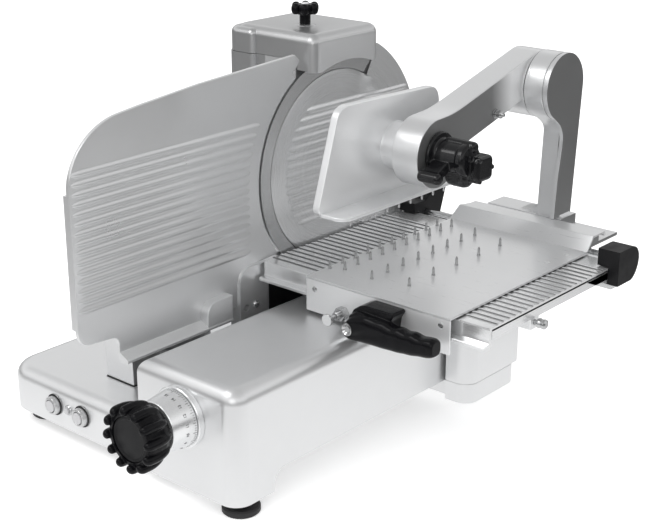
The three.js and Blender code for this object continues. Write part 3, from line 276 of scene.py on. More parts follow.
def obj_from(name, verts, faces):
    mesh = bpy.data.meshes.new(name)
    mesh.from_pydata([p(*v) for v in verts], [], faces)
    bm = bmesh.new()
    bm.from_mesh(mesh)
    bmesh.ops.remove_doubles(bm, verts=bm.verts, dist=1e-7)
    bmesh.ops.recalc_face_normals(bm, faces=bm.faces)
    bm.to_mesh(mesh)
    bm.free()
    return put_in_scene(name, mesh)


def evaluated(obj):
    bpy.context.view_layer.update()
    return bpy.data.meshes.new_from_object(obj.evaluated_get(bpy.context.evaluated_depsgraph_get()))


def bake(obj):
    """The object's modifiers become its mesh."""
    mesh = evaluated(obj)
    obj.modifiers.clear()
    obj.data = mesh
    return obj


def boolean(obj, tools, operation="DIFFERENCE"):
    for tool in tools:
        m = obj.modifiers.new("cut", "BOOLEAN")
        m.operation = operation
        m.solver = "EXACT"
        m.object = tool
        bake(obj)
        bpy.data.objects.remove(tool)
    return obj


def rounded(obj, width, segments=3, angle=30):
    m = obj.modifiers.new("round", "BEVEL")
    m.width = width * MM
    m.segments = segments
    m.limit_method = "ANGLE"
    m.angle_limit = radians(angle)
    return bake(obj)


def paint(obj, mat):
    if not obj.data.materials:
        obj.data.materials.append(mat)
    for i in range(len(obj.data.materials)):
        obj.data.materials[i] = mat


def dress(obj, mat, body, *replaced, slot=None, angle=32):
    """Finish, smooth shading up to the angle, the body it rides on and the nodes it replaces; slot is not
    used.
    """
    paint(obj, mat)
    obj.data.shade_smooth()
    obj.data.set_sharp_from_angle(angle=radians(angle))
    obj.modifiers.new("normals", "WEIGHTED_NORMAL").keep_sharp = True
    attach(obj, body)
    if replaced:
        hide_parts(*replaced)
    slot = slot or SLOTS.get(mat.name)
    return obj


def face_sides(obj, mat, least=0.9, toward=(1, 0, 0), above=0.0):
    """The faces that look one way, along +X if nothing else is said, get a second material that paints that
    side lighter or darker: painted light and shade.
    """
    obj.data.materials.append(mat)
    for face in obj.data.polygons:
        if face.normal.dot(Vector(toward)) > least and face.center.z > above:
            face.material_index = 1


def join(name, objs):
    bpy.context.view_layer.update()
    bm = bmesh.new()
    for o in objs:
        mesh = o.data.copy()
        mesh.transform(o.matrix_world)
        bm.from_mesh(mesh)
        bpy.data.meshes.remove(mesh)
    mesh = bpy.data.meshes.new(name)
    bm.to_mesh(mesh)
    bm.free()
    for o in objs:
        bpy.data.objects.remove(o)
    return put_in_scene(name, mesh)


def remelt(obj, voxel, passes=6, factor=0.5):
    """Overlapping solids become one moulded skin with soft inner corners."""
    m = obj.modifiers.new("melt", "REMESH")
    m.mode = "VOXEL"
    m.voxel_size = voxel * MM
    m = obj.modifiers.new("soften", "SMOOTH")
    m.factor = factor
    m.iterations = passes
    return bake(obj)


def polar(c, r, deg):
    return c[0] + r * cos(radians(deg)), c[1] + r * sin(radians(deg))


def arc(c, r, a0, a1, n=16):
    return [polar(c, r, a0 + (a1 - a0) * i / n) for i in range(n + 1)]


def rrect(u0, u1, v0, v1, radii, n=12):
    """Rectangle with the radii of its corners, counter-clockwise from the lowest u and v."""
    a, b, c, d = radii if isinstance(radii, list) else [radii] * 4
    pts = []
    for u, v, r, start in ((u0 + a, v0 + a, a, 180), (u1 - b, v0 + b, b, 270),
                           (u1 - c, v1 - c, c, 0), (u0 + d, v1 - d, d, 90)):
        pts += arc((u, v), r, start, start + 90, n) if r > 0 else [(u, v)]
    return pts


def bezier(a, b, c, d, n=16):
    pts = []
    for i in range(n + 1):
        t = i / n
        s = 1 - t
        pts.append(tuple(s ** 3 * a[k] + 3 * s * s * t * b[k] + 3 * s * t * t * c[k] + t ** 3 * d[k]
                         for k in (0, 1)))
    return pts


AXES = {"x": lambda u, v, w: (w, u, v), "y": lambda u, v, w: (u, w, v), "z": lambda u, v, w: (u, v, w)}


def prism(name, outline, axis, lo, hi):
    """Outline is in Y,Z for axis x, in X,Z for axis y, in X,Y for axis z."""
    put = AXES[axis]
    n = len(outline)
    verts = [put(u, v, lo) for u, v in outline] + [put(u, v, hi) for u, v in outline]
    faces = [list(range(n))[::-1], list(range(n, 2 * n))]
    faces += [[i, (i + 1) % n, n + (i + 1) % n, n + i] for i in range(n)]
    return obj_from(name, verts, faces)


def block(name, x0, x1, y0, y1, z0, z1):
    return prism(name, [(x0, y0), (x1, y0), (x1, y1), (x0, y1)], "z", z0, z1)


def lathe(name, profile, axis, c, segs=64):
    """Profile lists (radius, place along the axis); c is the centre in the other two."""
    put = AXES[axis]
    verts, faces = [], []
    for r, t in profile:
        verts += [put(c[0] + r * cos(2 * pi * i / segs),
                      c[1] + r * sin(2 * pi * i / segs), t) for i in range(segs)]
    for k in range(len(profile) - 1):
        for i in range(segs):
            j = (i + 1) % segs
            faces.append([k * segs + i, k * segs + j, (k + 1) * segs + j, (k + 1) * segs + i])
    if profile[0] != profile[-1]:
        faces.append(list(range(segs)))
        faces.append([(len(profile) - 1) * segs + i for i in range(segs)][::-1])
    return obj_from(name, verts, faces)


def cyl(name, r, axis, c, lo, hi, segs=48):
    return lathe(name, [(r, lo), (r, hi)], axis, c, segs)


def loft(name, rings):
    n = len(rings[0])
    verts = [v for ring in rings for v in ring]
    faces = [[k * n + i, k * n + (i + 1) % n, (k + 1) * n + (i + 1) % n, (k + 1) * n + i]
             for k in range(len(rings) - 1) for i in range(n)]
    faces += [list(range(n))[::-1], [(len(rings) - 1) * n + i for i in range(n)]]
    return obj_from(name, verts, faces)


def spline(stations, n):
    """Smooth rows of numbers between the given stations (Catmull-Rom)."""
    out = []
    for i in range(len(stations) - 1):
        a, b, c, d = (stations[max(i - 1, 0)], stations[i], stations[i + 1],
                      stations[min(i + 2, len(stations) - 1)])
        for k in range(n):
            t = k / n
            out.append([0.5 * (2 * q + (r - o) * t + (2 * o - 5 * q + 4 * r - s) * t * t
                               + (3 * q - o - 3 * r + s) * t ** 3)
                        for o, q, r, s in zip(a, b, c, d)])
    out.append(list(stations[-1]))
    return out


def ridge(y0, y1, z, face, half, height, taper=10.0, along=36, across=10):
    """Vertices and faces of a soft raised rib along Y with drop-shaped ends."""
    verts, faces = [], []
    for i in range(along + 1):
        s = i / along
        s = 0.5 - 0.5 * cos(pi * s)
        y = y0 + (y1 - y0) * s
        d = min(y - y0, y1 - y) / taper
        k = sqrt(max(0.0, 1 - (1 - min(d, 1.0)) ** 2))
        for j in range(across + 1):
            t = -1 + 2 * j / across
            zz = z + half * max(k, 0.02) * t
            ground = face(y, zz) if callable(face) else face
            u = (t + 1) / 0.7 if t < -0.3 else (1 - t) / 1.3
            verts.append((ground + height * k * (0.5 - 0.5 * cos(pi * u)) - 0.02, y, zz))
    w = across + 1
    for i in range(along):
        for j in range(across):
            faces.append([i * w + j, i * w + j + 1, (i + 1) * w + j + 1, (i + 1) * w + j])
    return verts, faces


def ridges(name, rows):
    """Several ribs as one object, all faces towards +X."""
    verts, faces = [], []
    for row in rows:
        v, f = ridge(*row)
        faces += [[len(verts) + i for i in q] for q in f]
        verts += v
    obj = obj_from(name, verts, faces)
    bm = bmesh.new()
    bm.from_mesh(obj.data)
    for f in bm.faces:
        if f.normal.x < 0:
            f.normal_flip()
    bm.to_mesh(obj.data)
    bm.free()
    return obj


def drill(obj, *hole):
    """Cut a round hole, given in the words of cyl after the name."""
    return boolean(obj, [cyl("t", *hole)])


# Base castings: rounded shells cut by the real openings

def rounded_casting(name, outline, top, bottom, radius, steps=7):
    """A casting with a round upper edge: rings of the outline drawn in towards the top."""
    n = len(outline)
    normals = []
    for i in range(n):
        (ax, ay), (bx, by), (cx, cy) = outline[i - 1], outline[i], outline[(i + 1) % n]
        n1 = Vector((by - ay, ax - bx))
        n2 = Vector((cy - by, bx - cx))
        n1 = n1.normalized() if n1.length > 1e-6 else n2.normalized()
        n2 = n2.normalized() if n2.length > 1e-6 else n1
        m = n1 + n2
        m = m / max(m.length_squared / 2, 0.3) if m.length > 1e-6 else n1
        normals.append(m)
    rings = [[(x, y, bottom) for x, y in outline], [(x, y, top - radius) for x, y in outline]]
    for k in range(1, steps + 1):
        a = pi / 2 * k / steps
        inset, lift = radius * (1 - cos(a)), radius * sin(a)
        rings.append([(x - m.x * inset, y - m.y * inset, top - radius + lift)
                      for (x, y), m in zip(outline, normals)])
    return loft(name, rings)


def low_base():
    outer = rrect(-254, 80, 0, 572, [45, 0, 0, 45], 14)
    body = rounded_casting("low_base", outer, -9.5, -73, 18)
    tools = [block("t", 34.7, 120, -20, 600, -90, 20),
             rounded_casting("t", rrect(-250, 30.4, 4, 568, [41, 16, 16, 41], 10), -14.5, -90, 15),
             prism("t", rrect(-117, -67, 82, 203, 4, 4), "z", -30, 10)]
    tools += [cyl("t", 9.1, "y", (x, BUTTON_Z), -30, 20, 40) for x in BUTTON_X]
    tools += [cyl("t", 5.3, "y", (LAMP_X, BUTTON_Z), -30, 20, 32),
              cyl("t", 9.3, "y", (-190, BUTTON_Z), 540, 600, 32)]
    bosses = [cyl("b", 14, "z", (-215, y), -73, -15, 32) for y in (45, 527)]
    dress(join("low_base", [boolean(body, tools), *bosses]), cast, "base", "low_base_casting")


def drive_box():
    outer = rrect(35, 211, 0, 572, [0, 25, 25, 0], 12)
    body = rounded_casting("drive_box", outer, 79.5, -78.7, 20)
    slot = arc((87, -67.4), 18, 180, 90, 10) + [(540.5, -49.4), (548.5, -57.4), (548.5, -130), (69, -130)]
    tools = [rounded_casting("t", rrect(39, 207, 4, 568, [17, 21, 21, 17], 8), 74, -120, 16),
             prism("t", slot, "x", 80, 240), cyl("t", 7.3, "y", DIAL, -30, 30, 32),
             cyl("t", 7.3, "x", (124, 24.2), 20, 50, 32)]
    lugs = join("lugs", [block("b", 100, 140, *ends, -64, -24) for ends in ((3, 22), (554, 569))])
    parts = [boolean(body, tools), drill(lugs, 11.3, "y", (120, -44), 1, 571, 40),
             block("b", 166, 184, 3, 569, -45, -35),
             drill(block("b", 103, 131, 132, 146, 10, 77), 7.3, "y", DIAL, 120, 160, 32),
             cyl("b", 14, "z", (190, 28), -78.7, 60, 32), cyl("b", 14, "z", (185, 558), -78.7, 60, 32)]
    dress(join("drive_box", parts), cast, "base", "drive_box_casting")


def feet():
    for node, x, y, seat in (("foot_front_left", -215, 45, -73), ("foot_front_right", 190, 28, -78.7),
                             ("foot_rear_left", -215, 527, -73), ("foot_rear_right", 185, 558, -78.7)):
        prof = [(INNER, GROUND), (23.5, GROUND), (25, -93.5), (25, -87.5), (23, -85.6), (13, -84.2),
                (11.4, -82.6), (11, -80), (11, seat - 0.3), (INNER, seat - 0.3)]
        dress(lathe(node + "_skin", prof, "z", (x, y)), rubber, "base", node)


# Push buttons with their satin collars and black rings of painted shadow, and the lamp between them

def buttons():
    cap = [(INNER, -10.6), (5, -10.7), (7.4, -10.5), (8.3, -9.8), (8.5, -9), (8.5, 14), (INNER, 14)]
    for name, x in zip(("stop", "start"), BUTTON_X):
        dress(lathe(f"{name}_button_cap", cap, "y", (x, BUTTON_Z)), pale, f"{name}_switch", f"{name}_button")
    collar = [(9.2, 0.6), (15, 0.6), (15, -0.2), (14.6, -0.6), (13.5, -0.7), (13.3, -1.6), (13.3, -5.6),
              (12.9, -7.6), (11.9, -9), (10.8, -9.4), (9.9, -9.2), (9.2, -8.4), (9.2, 0.6)]
    # A black ring round each collar: painted shadow at the collar's edge.
    painted_shadow_ring = [(13.36, -0.6), (15.2, -0.6), (15.5, -1.2), (15.1, -2), (13.9, -2.3), (13.36, -1.9), (13.36, -0.6)]
    for i, x in enumerate(BUTTON_X):
        dress(lathe(f"button_collar_{i}", collar, "y", (x, BUTTON_Z)), collar_metal, "base")
        dress(lathe(f"button_painted_shadow_{i}", painted_shadow_ring, "y", (x, BUTTON_Z)), rubber, "base")
    lens = [(INNER, -6.4), (2.6, -6.1), (4.3, -5.1), (5, -3.4), (5, 12), (INNER, 12)]
    dress(lathe("lamp_lens", lens, "y", (LAMP_X, BUTTON_Z), 48), pale, "base", "indicator_lamp")
    ring = [(5.05, 0.3), (7.2, 0.3), (7.2, -1.4), (6.4, -2.4), (5.05, -2.4), (5.05, 0.3)]
    dress(lathe("lamp_collar", ring, "y", (LAMP_X, BUTTON_Z), 48), chrome, "base")


# Knife, its cover plate and the housing behind them

def knife():
    prof = [(20, -10), (60, -10), (100, -8.6), (150, -6.9), (164.2, -0.9), (165, -0.4), (165, 0), (162, -0.5),
            (141.9, -3.0), (141.5, -3.6), (141.1, -6.7), (20, -6.7), (20, -10)]
    dress(lathe("knife_blade", prof, "x", KNIFE, 256), knife_metal, "knife_set", "knife", angle=12)


def ease(t):
    t = min(max(t, 0.0), 1.0)
    return t * t * (3 - 2 * t)


def cover_face(r, deg):
    """Height of the front face: a disc that rises into the guard behind the knife's rear edge."""
    side = ease((GUARD[1] + 3 - abs(deg)) / 9)
    edge = -0.0011 * max(r - 104, 0) ** 2 if r < 136 else -1.13 - 0.9 * (r - 136) / 4
    return -1.6 + side * 3.6 * ease((r - 108) / 28) + (1 - side) * edge


def guard_sector(r):
    """Outline of the rear guard from radius r outwards."""
    return arc(KNIFE, GUARD_R, *GUARD, 60) + arc(KNIFE, r, *GUARD[::-1], 60)


def knife_cover():
    rim = 140.2
    turn = [2 * k - (360 if k > 90 else 0) for k in range(180)]
    rings = [[(cover_face(r, deg), *polar(KNIFE, r, deg)) for deg in turn]
             for r in (INNER, 30, 60, 90, 100, *range(104, 140, 2), rim)]
    rings.append([(-5.7, *polar(KNIFE, rim, deg)) for deg in turn])
    disc = loft("cover", rings)
    guard = rounded(prism("guard", guard_sector(139.5), "x", 0.6, 2.0), 0.5, 2)
    rows = []
    for i in range(14):
        z = 329.1 - i * RIB_STEP
        lift = z - KNIFE_Z
        rows.append(rib_over(KNIFE_Y - sqrt(113 ** 2 - lift ** 2), KNIFE_Y + sqrt(187.5 ** 2 - lift ** 2), z))
    rib = ridges("ribs", rows)
    screw = lathe("screw", [(INNER, -0.5), (2.2, -0.5), (3.4, -0.9), (4, -1.6), (4, -2), (INNER, -2)], "x",
                  (KNIFE_Y + 40, KNIFE_Z - 96), 32)
    cover = join("knife_cover", [disc, guard, rib, screw])
    dress(cover, cover_metal, "base", "knife_cover_plate", angle=28)


def rib_over(y0, y1, z):
    """A rib that keeps its height over the rising face."""
    def face(y, zz):
        r = hypot(y - KNIFE_Y, zz - KNIFE_Z)
        return 2.0 if r > 140 else cover_face(r, degrees(atan2(zz - KNIFE_Z, y - KNIFE_Y)))
    return y0, y1, z, face, 5.6, 2.2, 14, 90


def housing():
    line = [(228, -9.2)] + bezier((228, 103), (228.6, 118), (237, 125.3), (252, 125.3), 12)
    wall = prism("wall", line + [(600, 125.3), (607, 123), (612, 112), (612, -9.2)], "x", -20.8, -0.6)
    boolean(wall, [cyl("t", 168, "x", KNIFE, -16, 5, 128), cyl("t", 5, "x", (240, 66), -17, 5, 32)])
    rounded(wall, 1.2, 2, 40)
    back = cyl("back", 157, "x", KNIFE, -21, -16, 128)
    ring = rounded(prism("ring", guard_sector(168), "x", -20.6, 0.2), 1.0, 2, 40)
    ring_back = prism("ring_back", guard_sector(140), "x", -20.2, -16.3)
    drill(back, 21.5, "x", KNIFE, -40, 0, 48)
    column = prism("column", rrect(-76, -16.3, 365, 510, 0), "z", -9.2, 401)
    boolean(column, [block("t", -90, -21.3, 370, 505, 1, 396), cyl("t", 21.5, "x", KNIFE, -60, 20, 48),
                     cyl("t", 6, "z", STAR, 380, 420, 32)])
    web = drill(block("web", -76, -71, 366, 509, -7.5, 130), 14, "x", (KNIFE_Y, 62), -90, -60, 40)
    seat = lathe("seat", [(23.8, -47), (29, -47), (29, -18), (23.8, -18), (23.8, -47)], "x", KNIFE, 64)
    body = join("housing", [wall, back, ring, ring_back, column, web, seat])
    dress(body, cast_soft, "base", "knife_housing")
    # A dull black sheet on the wall under the table: painted shade where the wall lies in shadow.
    painted_shade_sheet = drill(block("wall_painted_shade", -0.8, 0.3, 286, 598, 2, 102), 169, "x", KNIFE, -5, 5, 128)
    dress(rounded(painted_shade_sheet, 0.25, 1), dull_black, "base")


def motor_cover():
    body = prism("motor_box", rrect(-150, -76.3, 365, 510, [20, 0, 0, 20], 10), "z", -9.2, 401)
    bulge = prism("bulge", rrect(-150, -92, 357, 518, [24, 8, 8, 24], 10), "z", -9.2, 401)
    boolean(body, [bulge], "UNION")
    boolean(body, [block("t", -146, -71, 369, 506, -5.5, 397)])
    dress(body, cast_upper, "base", "motor_cover")


def wall_screw():
    prof = [(INNER, 3.4), (2.2, 3.3), (4.2, 2.6), (5.6, 1.4), (6, 0.4), (6, -0.3), (4.5, -0.3), (INNER, -0.3)]
    dress(lathe("wall_screw", prof, "x", (259, 67), 40), chrome, "base", "housing_screw")


# Sharpener cap and star knob

def sharpener():
    body = rounded_casting("cap", rrect(-144, 20, 364, 511, [24, 14, 16, 24], 12), 440, 361.8, 14, 10)
    bulge = rounded_casting("cap_bulge", rrect(-148, -92, 357, 518, [24, 10, 10, 24], 10), 437, 361.8, 9)
    boolean(body, [bulge], "UNION")
    hollow = rounded_casting("t", rrect(-140, 17, 367, 508, [20, 13, 13, 20], 8), 436, 340, 8)
    boolean(body, [block("t", -300, -12.5, 300, 600, 330, 401.7), hollow,
                   block("t", -15, 60, 300, 600, 330, 386), cyl("t", 159, "x", KNIFE, -20, 40, 192),
                   cyl("t", 167.5, "x", KNIFE, -14, 2.5, 192), cyl("t", 5.8, "z", STAR, 425, 450, 32)])
    rounded(body, 1.3, 2, 50)
    pad = lathe("pad", [(5.9, 436), (17, 436), (17, 438.5), (14, 441.3), (9, 441.6), (5.9, 441.6),
                        (5.9, 436)], "z", STAR, 48)
    body = join("sharpener_cap", [body, pad])
    # The cap's +X faces get the paler satin cast: painted light on the lit side.
    face_sides(dress(body, cast_upper, "base", "sharpener_cover"), cast_soft, 0.93)
    parts = [lathe("k", [(INNER, 456), (12, 456), (13.5, 460), (13.5, 467), (11, 470.5), (INNER, 472)],
                   "z", STAR, 48), cyl("k", 8, "z", STAR, 442, 458, 48)]
    lobe = [(INNER, 472.8), (3, 472.2), (5.4, 470), (6.4, 466.6), (6.5, 463), (5.6, 459.4), (3.4, 457),
            (INNER, 456.4)]
    parts += [lathe("k", lobe, "z", polar(STAR, 15.2, 60 * i + 10), 28) for i in range(6)]
    knob = remelt(join("star_knob", parts), 0.6, 4)
    screw = cyl("s", 5.5, "z", STAR, 396, 444, 32)
    dress(join("star_knob", [knob, screw]), black, "sharpener_screw", "sharpener_knob")
    top = lathe("star_knob_top", [(INNER, 472.7), (4, 472.6), (5.6, 472), (6, 471), (INNER, 471)],
                "z", STAR, 40)
    dress(top, sheet_metal, "sharpener_screw")


# Gauge plate

def gauge():
    tip = degrees(atan2(379.6 - KNIFE_Z, 350.5 - KNIFE_Y))
    low = degrees(atan2(130 - KNIFE_Z, 309 - KNIFE_Y)) + 360
    line = [(4, 72), (222.5, 72)] + bezier((223, 104), (224, 120), (233, 128), (250, 128), 12)
    line += arc(KNIFE, 167.2, low, tip, 90)
    line += [(339.7, 387.2), (351, 395), (357.5, 404), (347, 413.5), (161, 403), (60, 393.6)]
    line += bezier((21, 389), (-14, 384), (-50, 360), (-60, 322), 22) + [(-62, 312)]
    line += bezier((-62, 124), (-61.4, 108), (-54, 101), (-40, 100.5), 10)
    line += bezier((-6, 98), (1, 97), (4, 92), (4, 84), 6)
    plate = prism("plate", line, "x", -7.2, -1.2)
    rounded(plate, 1.3, 3, 40)
    rows = []
    for i in range(15):
        z = 326.9 - i * RIB_STEP
        lift = max(z - KNIFE_Z, 0)
        rows.append((-58, KNIFE_Y - sqrt(186 ** 2 - lift ** 2), z, -1.25, 5.9, 1.9, 14, 60))
    rib = ridges("ribs", rows)
    ledge = prism("ledge", [(-2, 62), (12.5, 62), (14, 63.6), (14, 66.6), (11, 69.3), (4, 72.2), (0.6, 75),
                            (-2, 75)], "y", 4, 199)
    rounded(ledge, 0.7, 2, 40)
    lug = prism("lug", [(150, 63)] + arc((168, 84), 18, 180, 90, 10) + [(199, 102), (199, 63)], "x", -2, 13.5)
    rounded(lug, 1.6, 3, 40)
    rims = [rounded(block("r", -16.2, -7, *sides), 1.5, 2) for sides in (
        (-60, -54, 122, 300), (-38, 222, 101, 107), (60, 66, 100, 380), (130, 136, 100, 380))]
    body = join("gauge", [plate, rib, ledge, lug, *rims])
    dress(body, cast_soft, "gauge", "gauge_plate", angle=28)
    carrier = prism("carrier", [(-103, -8.9), (-48, -8.9), (-50, 66), (-7.5, 66), (-7.5, 96), (-106, 96)],
                    "y", 64, 215)
    body = join("gauge_carrier_skin", [rounded(carrier, 2.0), block("foot", -90, -70, 84, 201, -54, -8)])
    # The carrier's +X faces get the dark cast: painted shade.
    face_sides(dress(body, cast, "gauge", "gauge_carrier"), cast_painted_shade)
    # A thin black sheet on the base top under the carrier: painted shadow under the carrier.
    carrier_painted_shadow = prism("carrier_painted_shadow", rrect(-104.2, -46.6, 62.6, 216.4, 2, 4), "z", -9.3, -8.5)
    dress(rounded(carrier_painted_shadow, 0.2, 1), rubber, "gauge")


# Thickness dial and its big knob

SCALE_START, SCALE_STEP = -210, 5       # the drum's first tick and the step to the next, degrees


def dial():
    flange = lathe("flange", [(7.3, -0.3), (41, -0.3), (41, -8.2), (40.2, -9), (7.3, -9), (7.3, -0.3)],
                   "y", DIAL, 128)
    dress(flange, table_metal, "base", "dial_flange")
    drum = lathe("drum", [(7.3, -46), (33.4, -46), (34.3, -45.2), (38.4, -12), (38.6, -10.6), (38, -9.7),
                          (7.3, -9.7), (7.3, -46)], "y", DIAL, 128)
    dress(drum, table_metal, "thickness_set", "thickness_dial")

    def on_drum(y):
        return 38.6 + (y + 12) * 0.125

    verts, faces = [], []
    for i in range(64):
        a = radians(SCALE_START + i * SCALE_STEP)
        for y in (-16.6 if i % 4 == 0 else -14.2, -11.6):
            r = on_drum(y) + 0.06
            for side in (-0.22, 0.22):
                b = a + side / r
                verts.append((DIAL[0] + r * cos(b), y, DIAL[1] + r * sin(b)))
        faces.append([4 * i + k for k in (0, 1, 3, 2)])
    ticks = obj_from("dial_ticks", verts, faces)
    m = ticks.modifiers.new("thick", "SOLIDIFY")
    m.thickness = 0.0001
    m.offset = 0
    dress(bake(ticks), ink, "thickness_set")
    for i in range(16):
        curve = bpy.data.curves.new(f"dial_number_{i}", "FONT")
        curve.body = str(i)
        curve.size = 5.6 * MM
        curve.align_x = curve.align_y = "CENTER"
        curve.extrude = 0.00004
        text = put_in_scene(curve.name, curve)
        a = radians(SCALE_START + 4 * i * SCALE_STEP)
        y = -24.5
        r = on_drum(y) + 0.08
        out = Vector((cos(a), -sin(atan2(3.0, 24.0)), sin(a))).normalized()
        right = Vector((-sin(a), 0, cos(a)))
        turn = Matrix((right, out.cross(right).normalized(), out)).transposed().to_4x4()
        text.matrix_world = Matrix.Translation(p(DIAL[0] + r * cos(a), y, DIAL[1] + r * sin(a))) @ turn
        mesh = evaluated(text)
        mesh.transform(text.matrix_world)
        bpy.data.objects.remove(text)
        dress(put_in_scene(f"dial_number_{i}", mesh), ink, "thickness_set")


def big_knob():
    core = [(INNER, -46.4), (27, -46.4), (31, -48.5), (35, -54), (37.8, -61), (39, -70), (38.5, -82),
            (36, -88.5), (31, -89), (INNER, -89)]
    parts = [lathe("c", core, "y", DIAL, 96)]
    stations = spline([(-48.5, 30.2, 2.2), (-51.5, 32.6, 3.8), (-59, 36.2, 5.4), (-72, 38.8, 6.2),
                       (-86, 38.9, 6.4), (-91.5, 38.2, 6.0), (-94.6, 37.4, 4.2), (-95.9, 37.0, 1.6)], 4)
    for i in range(12):
        a = 2 * pi * i / 12 + 0.1
        rings = [[(DIAL[0] + r * cos(a) + half * cos(t), y, DIAL[1] + r * sin(a) + half * sin(t))
                  for t in [pi * k / 8 for k in range(16)]] for y, r, half in stations]
        parts.append(loft("l", rings))
    knob = remelt(join("big_knob", parts), 0.9, 3, 0.4)
    drill(knob, 30, "y", DIAL, -110, -82, 64)
    dress(knob, black, "thickness_set", "thickness_knob", angle=50)
    disc = lathe("knob_face", [(INNER, -86.9), (14, -86.8), (24.6, -86.2), (25.6, -86.6), (27, -87.8),
                               (28.8, -87.6), (29.6, -86.6), (29.6, -82.9), (INNER, -82.9)], "y", DIAL, 96)
    dress(disc, dull_black, "thickness_set", slot="blackPlastic")
    shaft = lathe("dial_shaft_skin", [(INNER, -82.6), (6.4, -82.6), (7, -82), (7, 150), (INNER, 150)],
                  "y", DIAL, 48)
    dress(shaft, rod_metal, "thickness_set", "dial_shaft")


# Carriage arm, table and guide rod

def carriage():
    parts = [rounded(prism("upright", rrect(216, 258, 426, y1, [0, 24, 12, 0]), "z", z0, z1), 1.5, 2, 40)
             for y1, z0, z1 in ((545, -76, -45), (559, -45.5, 110.5))]
    parts.append(rounded(block("beam", 60, 350, 446, 536, 88, 110.5), 2, 2))
    dress(join("arm_casting", parts), cast, "carriage", "carriage_arm")


def table():
    y0, y1 = 273, 595
    top, tall = TABLE_TOP, 1.5
    line = [(y0, 116), (y0, top - 2), (y0 + 0.6, top - 0.6), (y0 + 2, top)]
    for i in range(20):
        y = y0 + 18 + i * 13.6
        line += [(y - 0.6, top)] + [(y + 3.4 - 3.8 * cos(t), top + tall * sin(t) ** 0.8)
                                    for t in [pi * k / 10 for k in range(1, 10)]] + [(y + 7.4, top)]
    line += [(y1, top), (y1, 112), (y1 - 5, 112), (y1 - 5, top - 5), (y0 + 5, top - 5), (y0 + 5, 103),
             (262, 103), (262, 106.4), (262.8, 107.6), (264, 108), (y0 - 1.2, 109), (y0 - 0.3, 110),
             (y0, 112)]
    skin = prism("table", line, "x", 4, 390)
    parts = [skin, block("b", 6, 12, 280, 590, 113, 127), block("b", 384, 390, 279, 590, 113, 127),
             block("b", 90, 330, 446, 536, 110.8, 127),
             prism("b", [(509, 124), (578, 94), (593, 94), (593, 124)], "x", 384, 390)]
    boss = rounded(drill(block("b", 368, 389, 371, 391, 96, 127), 3.3, "x", LOCK, 377, 400, 24), 1.5, 2)
    skin = dress(join("table_skin", [*parts, boss]), table_metal, "carriage", "product_table", angle=26)
    # The rib slopes that face -Y get a dark metal: painted shade under each rib.
    face_sides(skin, rib_painted_shade, 0.3, (0, -1, 0), p(0, 0, top + 0.05).z)
    knob = lathe("lock_pin", [(INNER, 379), (3, 379), (3, 391.6), (5.4, 393.2), (6.8, 395), (7, 397),
                              (6.2, 399), (6.2, 401), (7, 403), (6.4, 405.4), (4, 407), (INNER, 407)],
                 "x", LOCK, 48)
    dress(knob, chrome, "table_lock", "table_lock_knob")
    rod = lathe("rod", [(INNER, 8), (5.2, 8), (6, 8.8), (6, 400.2), (5.2, 401), (INNER, 401)], "x", ROD, 48)
    dress(rod, rod_metal, "carriage", "rear_guide_rod")


def brackets():
    left = prism("bl", [(583, 131.4), (583, 147), (611, 147), (628, 158), (666, 158), (652, 116), (596, 112),
                        (595.3, 131.4)], "x", 4.5, 36)
    drill(left, 6.3, "x", ROD, 7.7, 50, 32)
    dress(rounded(left, 1.6, 3, 25), dull_black, "carriage", "rod_bracket_left")
    line = [(565, 106)] + bezier((600, 106), (612, 106), (622, 122), (622, 134), 10)
    line += bezier((622, 134), (622, 148), (612, 156.5), (600, 156.5), 10)[1:] + [(565, 156.5)]
    right = prism("br", line, "x", 373, 407)
    boolean(right, [block("t", 365, 390.3, 540, 595.3, 90, 131.4), cyl("t", 6.3, "x", ROD, 360, 401.3, 32)])
    dress(rounded(right, 1.8, 3, 25), dull_black, "carriage", "rod_bracket_right")


# Slide plate with spikes, its front plate, plunger and handle

